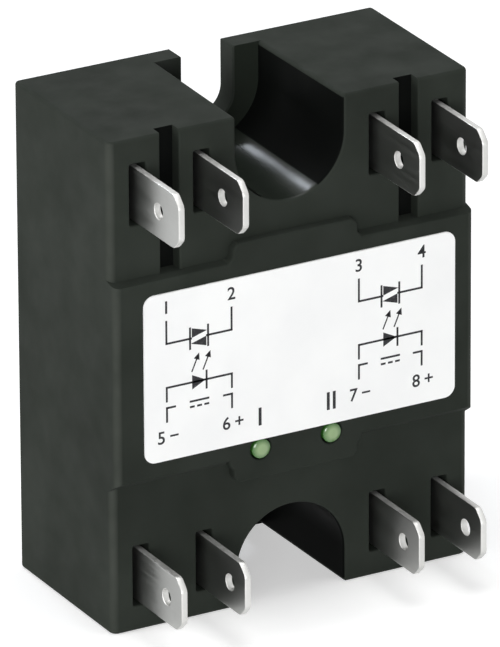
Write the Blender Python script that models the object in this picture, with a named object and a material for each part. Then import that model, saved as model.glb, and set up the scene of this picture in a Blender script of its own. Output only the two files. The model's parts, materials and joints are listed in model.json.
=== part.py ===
"""Two-pole panel-mount solid state relay with push-on tabs, as the pieces that it is assembled from.

The origin is the middle of the base plate's rear mounting face. +Y points out of that face, towards the heat
sink, so the label and the tabs face -Y. +Z runs along the long side, from the input tabs to the output tabs.
"""
import math

import bmesh
import bpy
from mathutils import Matrix, Vector

MM = 0.001

# Housing
BODY_WIDTH = 45.0 * MM
BODY_HEIGHT = 58.2 * MM
BODY_DEPTH = 21.55 * MM
RIM_WALL = 1.5 * MM
SIDE_WALL = 2.5 * MM
FRONT_WALL = 2.0 * MM
UPRIGHT_EDGE_RADIUS = 0.9 * MM
END_EDGE_RADIUS = 0.4 * MM
REAR_EDGE_RADIUS = 0.5 * MM

# Raised front panel, with a tongue in the middle that reaches past its upper and lower edge
PANEL_RAISE = 1.25 * MM
PANEL_TOP = 12.8 * MM
PANEL_BOTTOM = -11.6 * MM
PANEL_TOP_SLOPE = 0.25
PANEL_BOTTOM_SLOPE = 0.7
TONGUE_HALF_WIDTH = 7.8 * MM
TONGUE_REACH = 2.0 * MM
TONGUE_CORNER = 1.0 * MM

# Screw notches at both ends, with a slotted flange at the rear
NOTCH_FRONT_RADIUS = 6.7 * MM
NOTCH_SEAT_RADIUS = 6.4 * MM
NOTCH_CENTRE = 24.9 * MM
NOTCH_RIM_WALL = 1.9 * MM
NOTCH_SIDE_WALL = 2.6 * MM
FLANGE_THICKNESS = 3.0 * MM
SCREW_SPACING = 47.6 * MM
SCREW_SLOT_WIDTH = 6.4 * MM

# Push-on tabs and their slots in the front wall
TAB_INNER_X = 10.95 * MM
TAB_OUTER_X = 18.85 * MM
TAB_Z = 22.55 * MM
TAB_WIDTH = 6.3 * MM
TAB_THICKNESS = 0.8 * MM
TAB_REACH = 9.9 * MM
TAB_TIP_CHAMFER = 1.2 * MM
TAB_HOLE_RADIUS = 0.95 * MM
OUTPUT_HOLE_FROM_TIP = 4.5 * MM
INPUT_HOLE_FROM_TIP = 3.4 * MM
TAB_SLOT_WIDTH = 2.0 * MM
TAB_SLOT_HEIGHT = 7.2 * MM
GROOVE_X = 14.9 * MM
GROOVE_WIDTH = 2.35 * MM
GROOVE_DEPTH = 1.55 * MM

# Label and indicators
LABEL_WIDTH = 39.0 * MM
LABEL_HEIGHT = 19.8 * MM
LABEL_CENTRE_X = 0.45 * MM
LABEL_CENTRE_Z = 1.05 * MM
LABEL_CORNER = 1.3 * MM
LABEL_THICKNESS = 0.2 * MM
LIGHT_X = 4.45 * MM
LIGHT_Z = -10.05 * MM
LIGHT_RADIUS = 1.15 * MM
LIGHT_CLEARANCE = 0.15 * MM
LIGHT_DOME = 0.35 * MM
LIGHT_COLLAR_RADIUS = 2.0 * MM
LIGHT_COLLAR_THICKNESS = 0.8 * MM

# Base plate and power stage, listed from the back to the front
PLATE_THICKNESS = 3.0 * MM
PLATE_STAND = 0.3 * MM
PLATE_CORNER = 1.2 * MM
PLATE_CHAMFER = 0.25 * MM
COPPER_THICKNESS = 0.3 * MM
CERAMIC_THICKNESS = 0.63 * MM
CHIP_SIZE = 5.6 * MM
CHIP_THICKNESS = 0.4 * MM
CLIP_THICKNESS = 0.5 * MM
CLIP_WIDTH = 3.0 * MM
GATE_PIN = 0.6 * MM
GATE_FOOT = 1.2 * MM
FOOT_LENGTH = 2.2 * MM
FOOT_BEND_RADIUS = 0.5 * MM
RISER_LOW = 9.4 * MM
RISER_WIDTH = 5.0 * MM
SUBSTRATE_X = (-19.6 * MM, -1.2 * MM)
SUBSTRATE_Z = (-6.2 * MM, 15.4 * MM)
LINE_TRACK_X = (-19.3 * MM, -11.2 * MM)
LOAD_TRACK_X = (-10.2 * MM, -1.6 * MM)
TRACK_Z = (-5.6 * MM, 14.8 * MM)

# Control board
BOARD_THICKNESS = 1.6 * MM
BOARD_BACK = -13.2 * MM
BOARD_TOP = 8.0 * MM
BOARD_BOTTOM = -26.2 * MM
BOARD_HOLE_RADIUS = 0.95 * MM
PIN_WIDTH = 1.2 * MM
PIN_SPACING = 3.5 * MM
PIN_STICK_OUT = 1.0 * MM
RIB_HEIGHTS = (-13.3 * MM, 4.3 * MM)
RIB_WIDTH = 1.4 * MM
RIB_REACH = 1.4 * MM

# Board parts, with places on the left pole, and sizes as width, height and length
LEAD_PITCH = 2.54 * MM
LEAD_THICKNESS = 0.25 * MM
CASE_TAPER_SHARE = 0.06
COUPLER_PLACE = (-11.0 * MM, -5.2 * MM)
COUPLER_SIZE = (6.5 * MM, 3.3 * MM, 8.6 * MM)
COUPLER_LEAD_SPAN = 10.0 * MM
COUPLER_LEAD_WIDTH = 1.2 * MM
DIODE_Z = -21.0 * MM
DIODE_SIZE = (4.2 * MM, 2.0 * MM, 2.6 * MM)
DIODE_LEAD_SPAN = 5.2 * MM
DIODE_LEAD_WIDTH = 1.5 * MM
TRANSISTOR_PLACE = (-10.6 * MM, -13.2 * MM)
TRANSISTOR_SIZE = (1.6 * MM, 1.0 * MM, 2.9 * MM)
TRANSISTOR_LEAD_SPAN = 2.8 * MM
TRANSISTOR_LEAD_WIDTH = 0.4 * MM
TRANSISTOR_LEAD_OFFSET = 0.95 * MM
RESISTOR_SIZE = (3.2 * MM, 0.6 * MM, 1.6 * MM)
INPUT_RESISTOR_Z = -16.0 * MM
GATE_RESISTOR_PLACE = (-10.5 * MM, 4.6 * MM)
EMITTER_SIZE = (2.0 * MM, 0.8 * MM, 1.3 * MM)

# Cast fill between the power stage and the board
FILL_BACK = -7.0 * MM
FILL_FRONT = -11.5 * MM

# Gaps: round every loose piece, under every glued piece and in every solder joint
CLEAR = 0.3 * MM
GLUE = 0.05 * MM
SOLDER = 0.1 * MM
OVERSHOOT = 1.0 * MM
ROOT = 1.5 * MM

ARC_STEPS = 28
ROUND_STEPS = 24
CORNER_STEPS = 4
SMOOTH_ANGLE = math.radians(30)

# Levels along the depth, worked out from the sizes above
RIM_BACK = -PLATE_STAND
FRONT = RIM_BACK - BODY_DEPTH
PANEL_FRONT = FRONT - PANEL_RAISE
SEAT = RIM_BACK - FLANGE_THICKNESS
LEDGE = -PLATE_THICKNESS - CLEAR
CAVITY_FRONT = FRONT + FRONT_WALL
TAB_TIP = FRONT - TAB_REACH
BACK_COPPER = -PLATE_THICKNESS - SOLDER
CERAMIC = BACK_COPPER - COPPER_THICKNESS - GLUE
TRACK = CERAMIC - CERAMIC_THICKNESS - GLUE
TRACK_TOP = TRACK - COPPER_THICKNESS
CHIP = TRACK_TOP - SOLDER
CHIP_TOP = CHIP - CHIP_THICKNESS
BOARD_FRONT = BOARD_BACK - BOARD_THICKNESS

HALF_WIDTH = BODY_WIDTH / 2
HALF_HEIGHT = BODY_HEIGHT / 2
CAVITY_HALF_X = HALF_WIDTH - SIDE_WALL
CAVITY_HALF_Z = HALF_HEIGHT - SIDE_WALL
CAVITY_NOTCH = NOTCH_SEAT_RADIUS + NOTCH_SIDE_WALL
REBATE_NOTCH = NOTCH_SEAT_RADIUS + NOTCH_RIM_WALL

# Chip, clip and gate places on the left pole; the right pole mirrors them
CHIP_PLACES = {"1": (-15.4 * MM, 3.6 * MM), "2": (-5.4 * MM, -1.6 * MM)}
CLIP_SPANS = {"1": (-16.8 * MM, -7.6 * MM, 4.1 * MM), "2": (-3.8 * MM, -13.4 * MM, -2.5 * MM)}
CLIP_FOOT = 2.2 * MM
GATE_PLACES = {"1": (-17.7 * MM, 1.4 * MM, 1), "2": (-3.3 * MM, 0.6 * MM, -1)}
POLES = {"a": 1, "b": -1}

X_AXIS, Y_AXIS, Z_AXIS = range(3)


def clear_scene():
    """Remove whatever the scene holds."""
    for item in list(bpy.data.objects):
        bpy.data.objects.remove(item, do_unlink=True)


def make_material(name, colour, roughness, metallic=0.0):
    """Return a plain Principled material."""
    material = bpy.data.materials.new(name)
    material.use_nodes = True
    shader = material.node_tree.nodes["Principled BSDF"]
    shader.inputs["Base Color"].default_value = (*colour, 1.0)
    shader.inputs["Roughness"].default_value = roughness
    shader.inputs["Metallic"].default_value = metallic
    return material


def arc(centre, radius, start, end, steps):
    """Return the points of an arc, with angles in degrees and both ends included."""
    angles = [math.radians(start + (end - start) * step / steps) for step in range(steps + 1)]
    return [(centre[0] + radius * math.cos(a), centre[1] + radius * math.sin(a)) for a in angles]


def rounded_rectangle(low, high, low_radius, high_radius):
    """Return a rectangle with one radius on its two lower corners and one on its two upper corners."""
    (u0, v0), (u1, v1) = low, high
    points = arc((u0 + low_radius, v0 + low_radius), low_radius, 180, 270, CORNER_STEPS)
    points += arc((u1 - low_radius, v0 + low_radius), low_radius, 270, 360, CORNER_STEPS)
    points += arc((u1 - high_radius, v1 - high_radius), high_radius, 0, 90, CORNER_STEPS)
    points += arc((u0 + high_radius, v1 - high_radius), high_radius, 90, 180, CORNER_STEPS)
    return points


def notched_outline(half_x, low_z, high_z, corner, notch, top_notch=True):
    """Return a rounded rectangle with a round-ended notch in its lower end and, if asked, its upper end."""
    points = arc((-half_x + corner, low_z + corner), corner, 180, 270, CORNER_STEPS)
    points += [(-notch, low_z)]
    points += arc((0, -NOTCH_CENTRE), notch, 180, 0, ARC_STEPS)
    points += [(notch, low_z)]
    points += arc((half_x - corner, low_z + corner), corner, 270, 360, CORNER_STEPS)
    points += arc((half_x - corner, high_z - corner), corner, 0, 90, CORNER_STEPS)
    if top_notch:
        points += [(notch, high_z)]
        points += arc((0, NOTCH_CENTRE), notch, 0, -180, ARC_STEPS)
        points += [(-notch, high_z)]
    points += arc((-half_x + corner, high_z - corner), corner, 90, 180, CORNER_STEPS)
    return points


def end_notch(end, radius, centre):
    """Return the outline of a round-ended notch that is open past the end of the housing."""
    outside = end * (HALF_HEIGHT + OVERSHOOT)
    points = [(radius, outside)]
    points += arc((0, end * centre), radius, 0, -180 * end, ARC_STEPS)
    points += [(-radius, outside)]
    return points


def loft(axis, low, low_outline, high, high_outline, bm=None):
    """Return a solid between two outlines of as many points, set square to an axis at two levels."""
    bm = bm or bmesh.new()
    across, along = [other for other in range(3) if other != axis]
    edges = []
    for level, outline in ((low, low_outline), (high, high_outline)):
        ring = []
        for u, v in outline:
            place = Vector((0, 0, 0))
            place[across] = u
            place[along] = v
            place[axis] = level
            ring.append(bm.verts.new(place))
        edges += bm.faces.new(ring).edges
    bmesh.ops.bridge_loops(bm, edges=edges)
    bmesh.ops.recalc_face_normals(bm, faces=bm.faces)
    return bm


def prism(axis, low, high, outline, bm=None):
    """Return a solid of one outline along an axis."""
    return loft(axis, low, outline, high, outline, bm)


def block(low, high, bm=None):
    """Return a box between two corners."""
    bm = bm or bmesh.new()
    size = [high[i] - low[i] for i in range(3)]
    middle = [(high[i] + low[i]) / 2 for i in range(3)]
    matrix = Matrix.Translation(middle) @ Matrix.Diagonal((*size, 1.0))
    bmesh.ops.create_cube(bm, size=1.0, matrix=matrix)
    return bm


def circle(centre, radius, steps=ROUND_STEPS):
    """Return the points of a full circle, each once."""
    return arc(centre, radius, 0, 360, steps)[:-1]


def add_piece(name, bm, material, parent, location=(0, 0, 0)):
    """Make a named object from a bmesh, with flat faces and smooth rounds."""
    mesh = bpy.data.meshes.new(name)
    bmesh.ops.recalc_face_normals(bm, faces=bm.faces)
    bm.to_mesh(mesh)
    bm.free()
    mesh.materials.append(material)
    mesh.shade_smooth()
    mesh.set_sharp_from_angle(angle=SMOOTH_ANGLE)
    return place_copy(name, mesh, parent, location)


def place_copy(name, mesh, parent, location):
    """Make an object of a mesh that others may share."""
    piece = bpy.data.objects.new(name, mesh)
    bpy.context.scene.collection.objects.link(piece)
    piece.parent = parent
    piece.location = location
    return piece


def shape_with(piece, name, bm, operation):
    """Join a shape to a piece, or cut it out, with a Boolean."""
    tool_mesh = bpy.data.meshes.new(name)
    bmesh.ops.recalc_face_normals(bm, faces=bm.faces)
    bm.to_mesh(tool_mesh)
    bm.free()
    tool = bpy.data.objects.new(name, tool_mesh)
    bpy.context.scene.collection.objects.link(tool)
    tool.hide_render = True
    tool.display_type = "WIRE"
    modifier = piece.modifiers.new(name, "BOOLEAN")
    modifier.operation = operation
    modifier.solver = "EXACT"
    modifier.object = tool


def make_housing(parent, material):
    """Moulded shell: stepped block, screw notches, tab slots, grooves, and a cavity open at the back."""
    outline = rounded_rectangle(
        (-HALF_WIDTH, FRONT), (HALF_WIDTH, RIM_BACK), UPRIGHT_EDGE_RADIUS, REAR_EDGE_RADIUS
    )
    bm = prism(Z_AXIS, -HALF_HEIGHT, HALF_HEIGHT, outline)
    ends = [edge for edge in bm.edges if abs(edge.verts[0].co.z - edge.verts[1].co.z) < GLUE]
    bmesh.ops.bevel(
        bm, geom=ends, offset=END_EDGE_RADIUS, segments=2, profile=0.5, affect="EDGES", material=-1
    )
    housing = add_piece("housing", bm, material, parent)
    shape_with(housing, "raised_panel", panel_shape(), "UNION")
    shape_with(housing, "panel_tongue", tongue_shape(), "UNION")
    shape_with(housing, "plate_rebate", rebate_shape(), "DIFFERENCE")
    shape_with(housing, "cavity", cavity_shape(), "DIFFERENCE")
    shape_with(housing, "screw_notches", notch_shapes(), "DIFFERENCE")
    shape_with(housing, "screw_slots", screw_slot_shapes(), "DIFFERENCE")
    shape_with(housing, "front_openings", front_opening_shapes(), "DIFFERENCE")
    shape_with(housing, "board_ribs", rib_shapes(), "UNION")


def panel_shape():
    """Raised panel over the full width, with sloping upper and lower edges."""
    outline = rounded_rectangle(
        (-HALF_WIDTH, PANEL_FRONT), (HALF_WIDTH, FRONT + ROOT), UPRIGHT_EDGE_RADIUS, REAR_EDGE_RADIUS
    )
    bm = prism(Z_AXIS, PANEL_BOTTOM, PANEL_TOP, outline)
    middle = (PANEL_BOTTOM + PANEL_TOP) / 2
    for vert in bm.verts:
        slope = PANEL_TOP_SLOPE if vert.co.z > middle else -PANEL_BOTTOM_SLOPE
        vert.co.z += slope * (vert.co.y - FRONT)
    return bm


def tongue_shape():
    """Middle of the panel, which reaches towards both notches."""
    low = (-TONGUE_HALF_WIDTH, PANEL_BOTTOM - TONGUE_REACH)
    high = (TONGUE_HALF_WIDTH, PANEL_TOP + TONGUE_REACH)
    outline = rounded_rectangle(low, high, TONGUE_CORNER, TONGUE_CORNER)
    return prism(Y_AXIS, PANEL_FRONT, FRONT + ROOT, outline)


def rebate_shape():
    """Recess in the rear rim that takes the base plate."""
    half_x, half_z = HALF_WIDTH - RIM_WALL, HALF_HEIGHT - RIM_WALL
    outline = notched_outline(half_x, -half_z, half_z, PLATE_CORNER + CLEAR, REBATE_NOTCH)
    return prism(Y_AXIS, LEDGE, RIM_BACK + OVERSHOOT, outline)


def cavity_shape():
    """Inside of the shell, which leaves a ledge for the plate."""
    outline = notched_outline(CAVITY_HALF_X, -CAVITY_HALF_Z, CAVITY_HALF_Z, CLEAR, CAVITY_NOTCH)
    return prism(Y_AXIS, CAVITY_FRONT, RIM_BACK + OVERSHOOT, outline)


def notch_shapes():
    """Notches for the screw heads, wider at the front by the mould's draft."""
    bm = bmesh.new()
    for end in (1, -1):
        front = end_notch(end, NOTCH_FRONT_RADIUS, NOTCH_CENTRE)
        seat = end_notch(end, NOTCH_SEAT_RADIUS, NOTCH_CENTRE)
        loft(Y_AXIS, PANEL_FRONT - OVERSHOOT, front, SEAT, seat, bm)
    return bm


def screw_slot_shapes():
    """Open slots through the rear flanges."""
    bm = bmesh.new()
    for end in (1, -1):
        outline = end_notch(end, SCREW_SLOT_WIDTH / 2, SCREW_SPACING / 2)
        prism(Y_AXIS, SEAT - OVERSHOOT, RIM_BACK + OVERSHOOT, outline, bm)
    return bm


def front_opening_shapes():
    """Tab slots, light holes, and the grooves that part the output tabs of each pole."""
    bm = bmesh.new()
    inside = CAVITY_FRONT + OVERSHOOT
    outside = PANEL_FRONT - OVERSHOOT
    for x in tab_places():
        for z in (TAB_Z, -TAB_Z):
            low = (x - TAB_SLOT_WIDTH / 2, outside, z - TAB_SLOT_HEIGHT / 2)
            high = (x + TAB_SLOT_WIDTH / 2, inside, z + TAB_SLOT_HEIGHT / 2)
            block(low, high, bm)
    for side in (-1, 1):
        hole = circle((side * LIGHT_X, LIGHT_Z), LIGHT_RADIUS + LIGHT_CLEARANCE)
        prism(Y_AXIS, outside, inside, hole, bm)
        middle = side * GROOVE_X
        low = (middle - GROOVE_WIDTH / 2, outside, PANEL_TOP + GLUE)
        high = (middle + GROOVE_WIDTH / 2, FRONT + GROOVE_DEPTH, HALF_HEIGHT + OVERSHOOT)
        block(low, high, bm)
    return bm


def rib_shapes():
    """Ribs on the side walls that the board rests on."""
    bm = bmesh.new()
    for side in (-1, 1):
        for z in RIB_HEIGHTS:
            near = side * (CAVITY_HALF_X - RIB_REACH)
            far = side * (CAVITY_HALF_X + ROOT)
            low = (min(near, far), CAVITY_FRONT - ROOT, z - RIB_WIDTH / 2)
            high = (max(near, far), BOARD_FRONT - CLEAR, z + RIB_WIDTH / 2)
            block(low, high, bm)
    return bm


def tab_places():
    """Return the four places of the tabs across the width."""
    return (-TAB_OUTER_X, -TAB_INNER_X, TAB_INNER_X, TAB_OUTER_X)


def make_base_plate(parent, material):
    """Metal plate with its rear edge broken, notched round the screw flanges."""
    inset = RIM_WALL + CLEAR
    outline = notched_outline(
        HALF_WIDTH - inset, -HALF_HEIGHT + inset, HALF_HEIGHT - inset, PLATE_CORNER, REBATE_NOTCH + CLEAR
    )
    bm = prism(Y_AXIS, -PLATE_THICKNESS, 0, outline)
    rear = [edge for edge in bm.edges if all(vert.co.y > -GLUE for vert in edge.verts)]
    bmesh.ops.bevel(
        bm, geom=rear, offset=PLATE_CHAMFER, segments=1, profile=0.5, affect="EDGES", material=-1
    )
    add_piece("base_plate", bm, material, parent)


def make_label(parent, material):
    """Sticker on the raised panel."""
    low = (LABEL_CENTRE_X - LABEL_WIDTH / 2, LABEL_CENTRE_Z - LABEL_HEIGHT / 2)
    high = (LABEL_CENTRE_X + LABEL_WIDTH / 2, LABEL_CENTRE_Z + LABEL_HEIGHT / 2)
    outline = rounded_rectangle(low, high, LABEL_CORNER, LABEL_CORNER)
    back = PANEL_FRONT - GLUE
    add_piece("label", prism(Y_AXIS, back - LABEL_THICKNESS, back, outline), material, parent)


def tab_end(middle):
    """Return the outline of a tab's tip, from its lower to its upper edge."""
    low = middle - TAB_WIDTH / 2
    high = middle + TAB_WIDTH / 2
    shoulder = TAB_TIP + TAB_TIP_CHAMFER
    return [
        (shoulder, high),
        (TAB_TIP, high - TAB_TIP_CHAMFER),
        (TAB_TIP, low + TAB_TIP_CHAMFER),
        (shoulder, low),
    ]


def drill_tab(piece, middle, from_tip):
    """Cut the hole that a push-on connector's catch drops into."""
    hole = circle((TAB_TIP + from_tip, middle), TAB_HOLE_RADIUS)
    bm = prism(X_AXIS, -TAB_THICKNESS, TAB_THICKNESS, hole)
    bmesh.ops.translate(bm, verts=bm.verts, vec=piece.location)
    shape_with(piece, piece.name + "_hole", bm, "DIFFERENCE")


def output_strip(turn):
    """Output terminal: tab, web down to the riser, and a foot bent towards the turn side."""
    low = TAB_Z - TAB_WIDTH / 2
    high = TAB_Z + TAB_WIDTH / 2
    riser_high = RISER_LOW + RISER_WIDTH
    bend = TRACK_TOP - SOLDER - TAB_THICKNESS - FOOT_BEND_RADIUS
    web_front = CAVITY_FRONT + ROOT
    web_back = FILL_FRONT - CLEAR
    outline = tab_end(TAB_Z) + [
        (web_front, low),
        (web_front, RISER_LOW),
        (bend, RISER_LOW),
        (bend, riser_high),
        (web_back, riser_high),
        (web_back, high),
    ]
    bm = prism(X_AXIS, -TAB_THICKNESS / 2, TAB_THICKNESS / 2, outline)
    end = max(bm.faces, key=lambda face: face.calc_center_median().y)
    pivot = (turn * (TAB_THICKNESS / 2 + FOOT_BEND_RADIUS), bend, 0)
    strip_end = [end, *end.edges, *end.verts]
    swept = bmesh.ops.spin(
        bm, geom=strip_end, cent=pivot, axis=(0, 0, -turn), angle=math.pi / 2, steps=CORNER_STEPS
    )
    grown = bmesh.ops.extrude_face_region(bm, geom=swept["geom_last"])
    moved = [item for item in grown["geom"] if isinstance(item, bmesh.types.BMVert)]
    bmesh.ops.translate(bm, verts=moved, vec=(turn * FOOT_LENGTH, 0, 0))
    return bm


def input_strip():
    """Input terminal: tab with two pins that pass through the board."""
    low = -TAB_Z - TAB_WIDTH / 2
    high = -TAB_Z + TAB_WIDTH / 2
    shoulder = BOARD_FRONT - CLEAR
    pin_end = BOARD_BACK + PIN_STICK_OUT
    outline = tab_end(-TAB_Z) + [(shoulder, low)]
    for z in pin_places():
        outline += [(shoulder, z - PIN_WIDTH / 2), (pin_end, z - PIN_WIDTH / 2)]
        outline += [(pin_end, z + PIN_WIDTH / 2), (shoulder, z + PIN_WIDTH / 2)]
    outline += [(shoulder, high)]
    return prism(X_AXIS, -TAB_THICKNESS / 2, TAB_THICKNESS / 2, outline)


def pin_places():
    """Return the heights of an input terminal's two pins."""
    return (-TAB_Z - PIN_SPACING / 2, -TAB_Z + PIN_SPACING / 2)


def make_terminals(parent, material):
    """Four output terminals in the upper row and four input terminals in the lower row."""
    for number, x in enumerate(tab_places(), start=1):
        turn = 1 if x < 0 else -1
        piece = add_piece(f"output_terminal_{number}", output_strip(turn), material, parent, (x, 0, 0))
        drill_tab(piece, TAB_Z, OUTPUT_HOLE_FROM_TIP)
    for number, x in enumerate(tab_places(), start=5):
        piece = add_piece(f"input_terminal_{number}", input_strip(), material, parent, (x, 0, 0))
        drill_tab(piece, -TAB_Z, INPUT_HOLE_FROM_TIP)


def plate_between(x_span, z_span, back, thickness, mirror):
    """Return a flat plate with its back at a level, on the left pole or mirrored to the right."""
    x0, x1 = sorted(mirror * x for x in x_span)
    return block((x0, back - thickness, z_span[0]), (x1, back, z_span[1]))


def make_power_stage(parent, finish):
    """Ceramic, copper, chips, clips and gate leads of both poles."""
    for pole, mirror in POLES.items():
        layers = (
            ("substrate_copper", SUBSTRATE_X, TRACK_Z, BACK_COPPER, COPPER_THICKNESS, "copper"),
            ("power_substrate", SUBSTRATE_X, SUBSTRATE_Z, CERAMIC, CERAMIC_THICKNESS, "ceramic"),
            ("line_track", LINE_TRACK_X, TRACK_Z, TRACK, COPPER_THICKNESS, "copper"),
            ("load_track", LOAD_TRACK_X, TRACK_Z, TRACK, COPPER_THICKNESS, "copper"),
        )
        for name, x_span, z_span, back, thickness, look in layers:
            bm = plate_between(x_span, z_span, back, thickness, mirror)
            add_piece(f"{name}_{pole}", bm, finish[look], parent)
        for number, (x, z) in CHIP_PLACES.items():
            half = CHIP_SIZE / 2
            bm = plate_between((x - half, x + half), (z - half, z + half), CHIP, CHIP_THICKNESS, mirror)
            add_piece(f"thyristor_{pole}{number}", bm, finish["silicon"], parent)
        for number in CLIP_SPANS:
            add_piece(f"bridge_clip_{pole}{number}", clip_shape(number, mirror), finish["copper"], parent)
        for number in GATE_PLACES:
            add_piece(f"gate_lead_{pole}{number}", gate_shape(number, mirror), finish["tinned"], parent)


def clip_shape(number, mirror):
    """Strip that lies on a chip and steps down to the other track."""
    start, end, z = CLIP_SPANS[number]
    way = 1 if end > start else -1
    upper = CHIP_TOP - SOLDER
    lower = TRACK_TOP - SOLDER
    step = upper - lower
    knee = end - way * CLIP_FOOT
    outline = [
        (start, upper),
        (knee + way * step, upper),
        (knee, lower),
        (end, lower),
        (end, lower - CLIP_THICKNESS),
        (knee, lower - CLIP_THICKNESS),
        (knee + way * step, upper - CLIP_THICKNESS),
        (start, upper - CLIP_THICKNESS),
    ]
    outline = [(mirror * x, y) for x, y in outline]
    return prism(Z_AXIS, z - CLIP_WIDTH / 2, z + CLIP_WIDTH / 2, outline)


def gate_shape(number, mirror):
    """Square pin through the board, with a foot on the chip's gate corner."""
    x, z, way = GATE_PLACES[number]
    back = CHIP_TOP - SOLDER
    tip = BOARD_FRONT - GATE_PIN
    outline = [
        (x - way * GATE_PIN / 2, back),
        (x - way * GATE_PIN / 2 + way * GATE_FOOT, back),
        (x - way * GATE_PIN / 2 + way * GATE_FOOT, back - GATE_PIN / 2),
        (x + way * GATE_PIN / 2, back - GATE_PIN / 2),
        (x + way * GATE_PIN / 2, tip),
        (x - way * GATE_PIN / 2, tip),
    ]
    outline = [(mirror * u, v) for u, v in outline]
    return prism(Z_AXIS, z - GATE_PIN / 2, z + GATE_PIN / 2, outline)


def make_board(parent, material):
    """Printed board, notched round the lower screw notch and drilled for the pins."""
    half_x = CAVITY_HALF_X - CLEAR - GLUE
    outline = notched_outline(half_x, BOARD_BOTTOM, BOARD_TOP, CLEAR, CAVITY_NOTCH + CLEAR, top_notch=False)
    board = add_piece("control_board", prism(Y_AXIS, BOARD_FRONT, BOARD_BACK, outline), material, parent)
    holes = [(x, z) for x in tab_places() for z in pin_places()]
    for mirror in POLES.values():
        holes += [(mirror * x, z) for x, z, way in GATE_PLACES.values()]
    bm = bmesh.new()
    for centre in holes:
        outline = circle(centre, BOARD_HOLE_RADIUS, ROUND_STEPS // 2)
        prism(Y_AXIS, BOARD_FRONT - OVERSHOOT, BOARD_BACK + OVERSHOOT, outline, bm)
    shape_with(board, "board_holes", bm, "DIFFERENCE")


def moulded_part(name, centre, size, lead_span, lead_width, lead_heights, material, parent):
    """Board part in a moulded case with sloping sides and bent leads that stand on the board."""
    width, height, length = size
    foot = BOARD_FRONT - SOLDER
    thickness = LEAD_THICKNESS
    case_back = foot - thickness
    middle = case_back - height / 2
    front = case_back - height
    taper = CASE_TAPER_SHARE * width
    x, z = centre
    half = width / 2
    case = [
        (x - half + taper, case_back),
        (x + half - taper, case_back),
        (x + half, middle),
        (x + half - taper, front),
        (x - half + taper, front),
        (x - half, middle),
    ]
    piece = add_piece(name, prism(Z_AXIS, z - length / 2, z + length / 2, case), material, parent)
    knee = half + 2 * thickness
    reach = lead_span / 2
    upper = [(-reach, foot - thickness), (-knee, foot - thickness), (-knee, middle)]
    lower = [(-knee + thickness, middle + thickness), (-knee + thickness, foot), (-reach, foot)]
    right_lower = [(-u, v) for u, v in reversed(lower)]
    right_upper = [(-u, v) for u, v in reversed(upper)]
    outline = [(x + u, v) for u, v in upper + right_upper + right_lower + lower]
    bm = bmesh.new()
    for offset in lead_heights:
        prism(Z_AXIS, z + offset - lead_width / 2, z + offset + lead_width / 2, outline, bm)
    shape_with(piece, name + "_leads", bm, "UNION")


def chip_resistor(name, centre, size, material, parent):
    """Flat board part with its edges broken."""
    width, height, length = size
    x, z = centre
    back = BOARD_FRONT - SOLDER
    bm = block((x - width / 2, back - height, z - length / 2), (x + width / 2, back, z + length / 2))
    bmesh.ops.bevel(
        bm, geom=list(bm.edges), offset=GLUE, segments=1, profile=0.5, affect="EDGES", material=-1
    )
    add_piece(name, bm, material, parent)


def make_board_parts(parent, finish):
    """Couplers, diodes, transistors and resistors of both channels."""
    column = -(TAB_INNER_X + TAB_OUTER_X) / 2
    for pole, mirror in POLES.items():
        moulded_part(
            f"coupler_{pole}", on_pole(COUPLER_PLACE, mirror), COUPLER_SIZE, COUPLER_LEAD_SPAN,
            COUPLER_LEAD_WIDTH, (-LEAD_PITCH, 0, LEAD_PITCH), finish["case"], parent
        )
        moulded_part(
            f"protection_diode_{pole}", on_pole((column, DIODE_Z), mirror), DIODE_SIZE, DIODE_LEAD_SPAN,
            DIODE_LEAD_WIDTH, (0,), finish["case"], parent
        )
        moulded_part(
            f"current_transistor_{pole}", on_pole(TRANSISTOR_PLACE, mirror), TRANSISTOR_SIZE,
            TRANSISTOR_LEAD_SPAN, TRANSISTOR_LEAD_WIDTH, (-TRANSISTOR_LEAD_OFFSET, TRANSISTOR_LEAD_OFFSET),
            finish["case"], parent
        )
        resistors = {"input": (column, INPUT_RESISTOR_Z), "gate": GATE_RESISTOR_PLACE}
        for use, place in resistors.items():
            middle = on_pole(place, mirror)
            chip_resistor(f"{use}_resistor_{pole}", middle, RESISTOR_SIZE, finish["ink"], parent)


def on_pole(place, mirror):
    """Return a place on the left pole, or mirrored to the right."""
    return (mirror * place[0], place[1])


def make_indicators(parent, finish):
    """Light emitting chips on the board, and the guides that bring their light to the panel."""
    foot = BOARD_FRONT - SOLDER
    width, height, length = EMITTER_SIZE
    half_x, half_z = width / 2, length / 2
    for pole, mirror in POLES.items():
        x = -mirror * LIGHT_X
        bm = block((x - half_x, foot - height, LIGHT_Z - half_z), (x + half_x, foot, LIGHT_Z + half_z))
        add_piece(f"indicator_chip_{pole}", bm, finish["emitter"], parent)
        bm = guide_shape(foot - height - CLEAR)
        add_piece(f"light_guide_{pole}", bm, finish["lens"], parent, (x, 0, LIGHT_Z))


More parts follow.
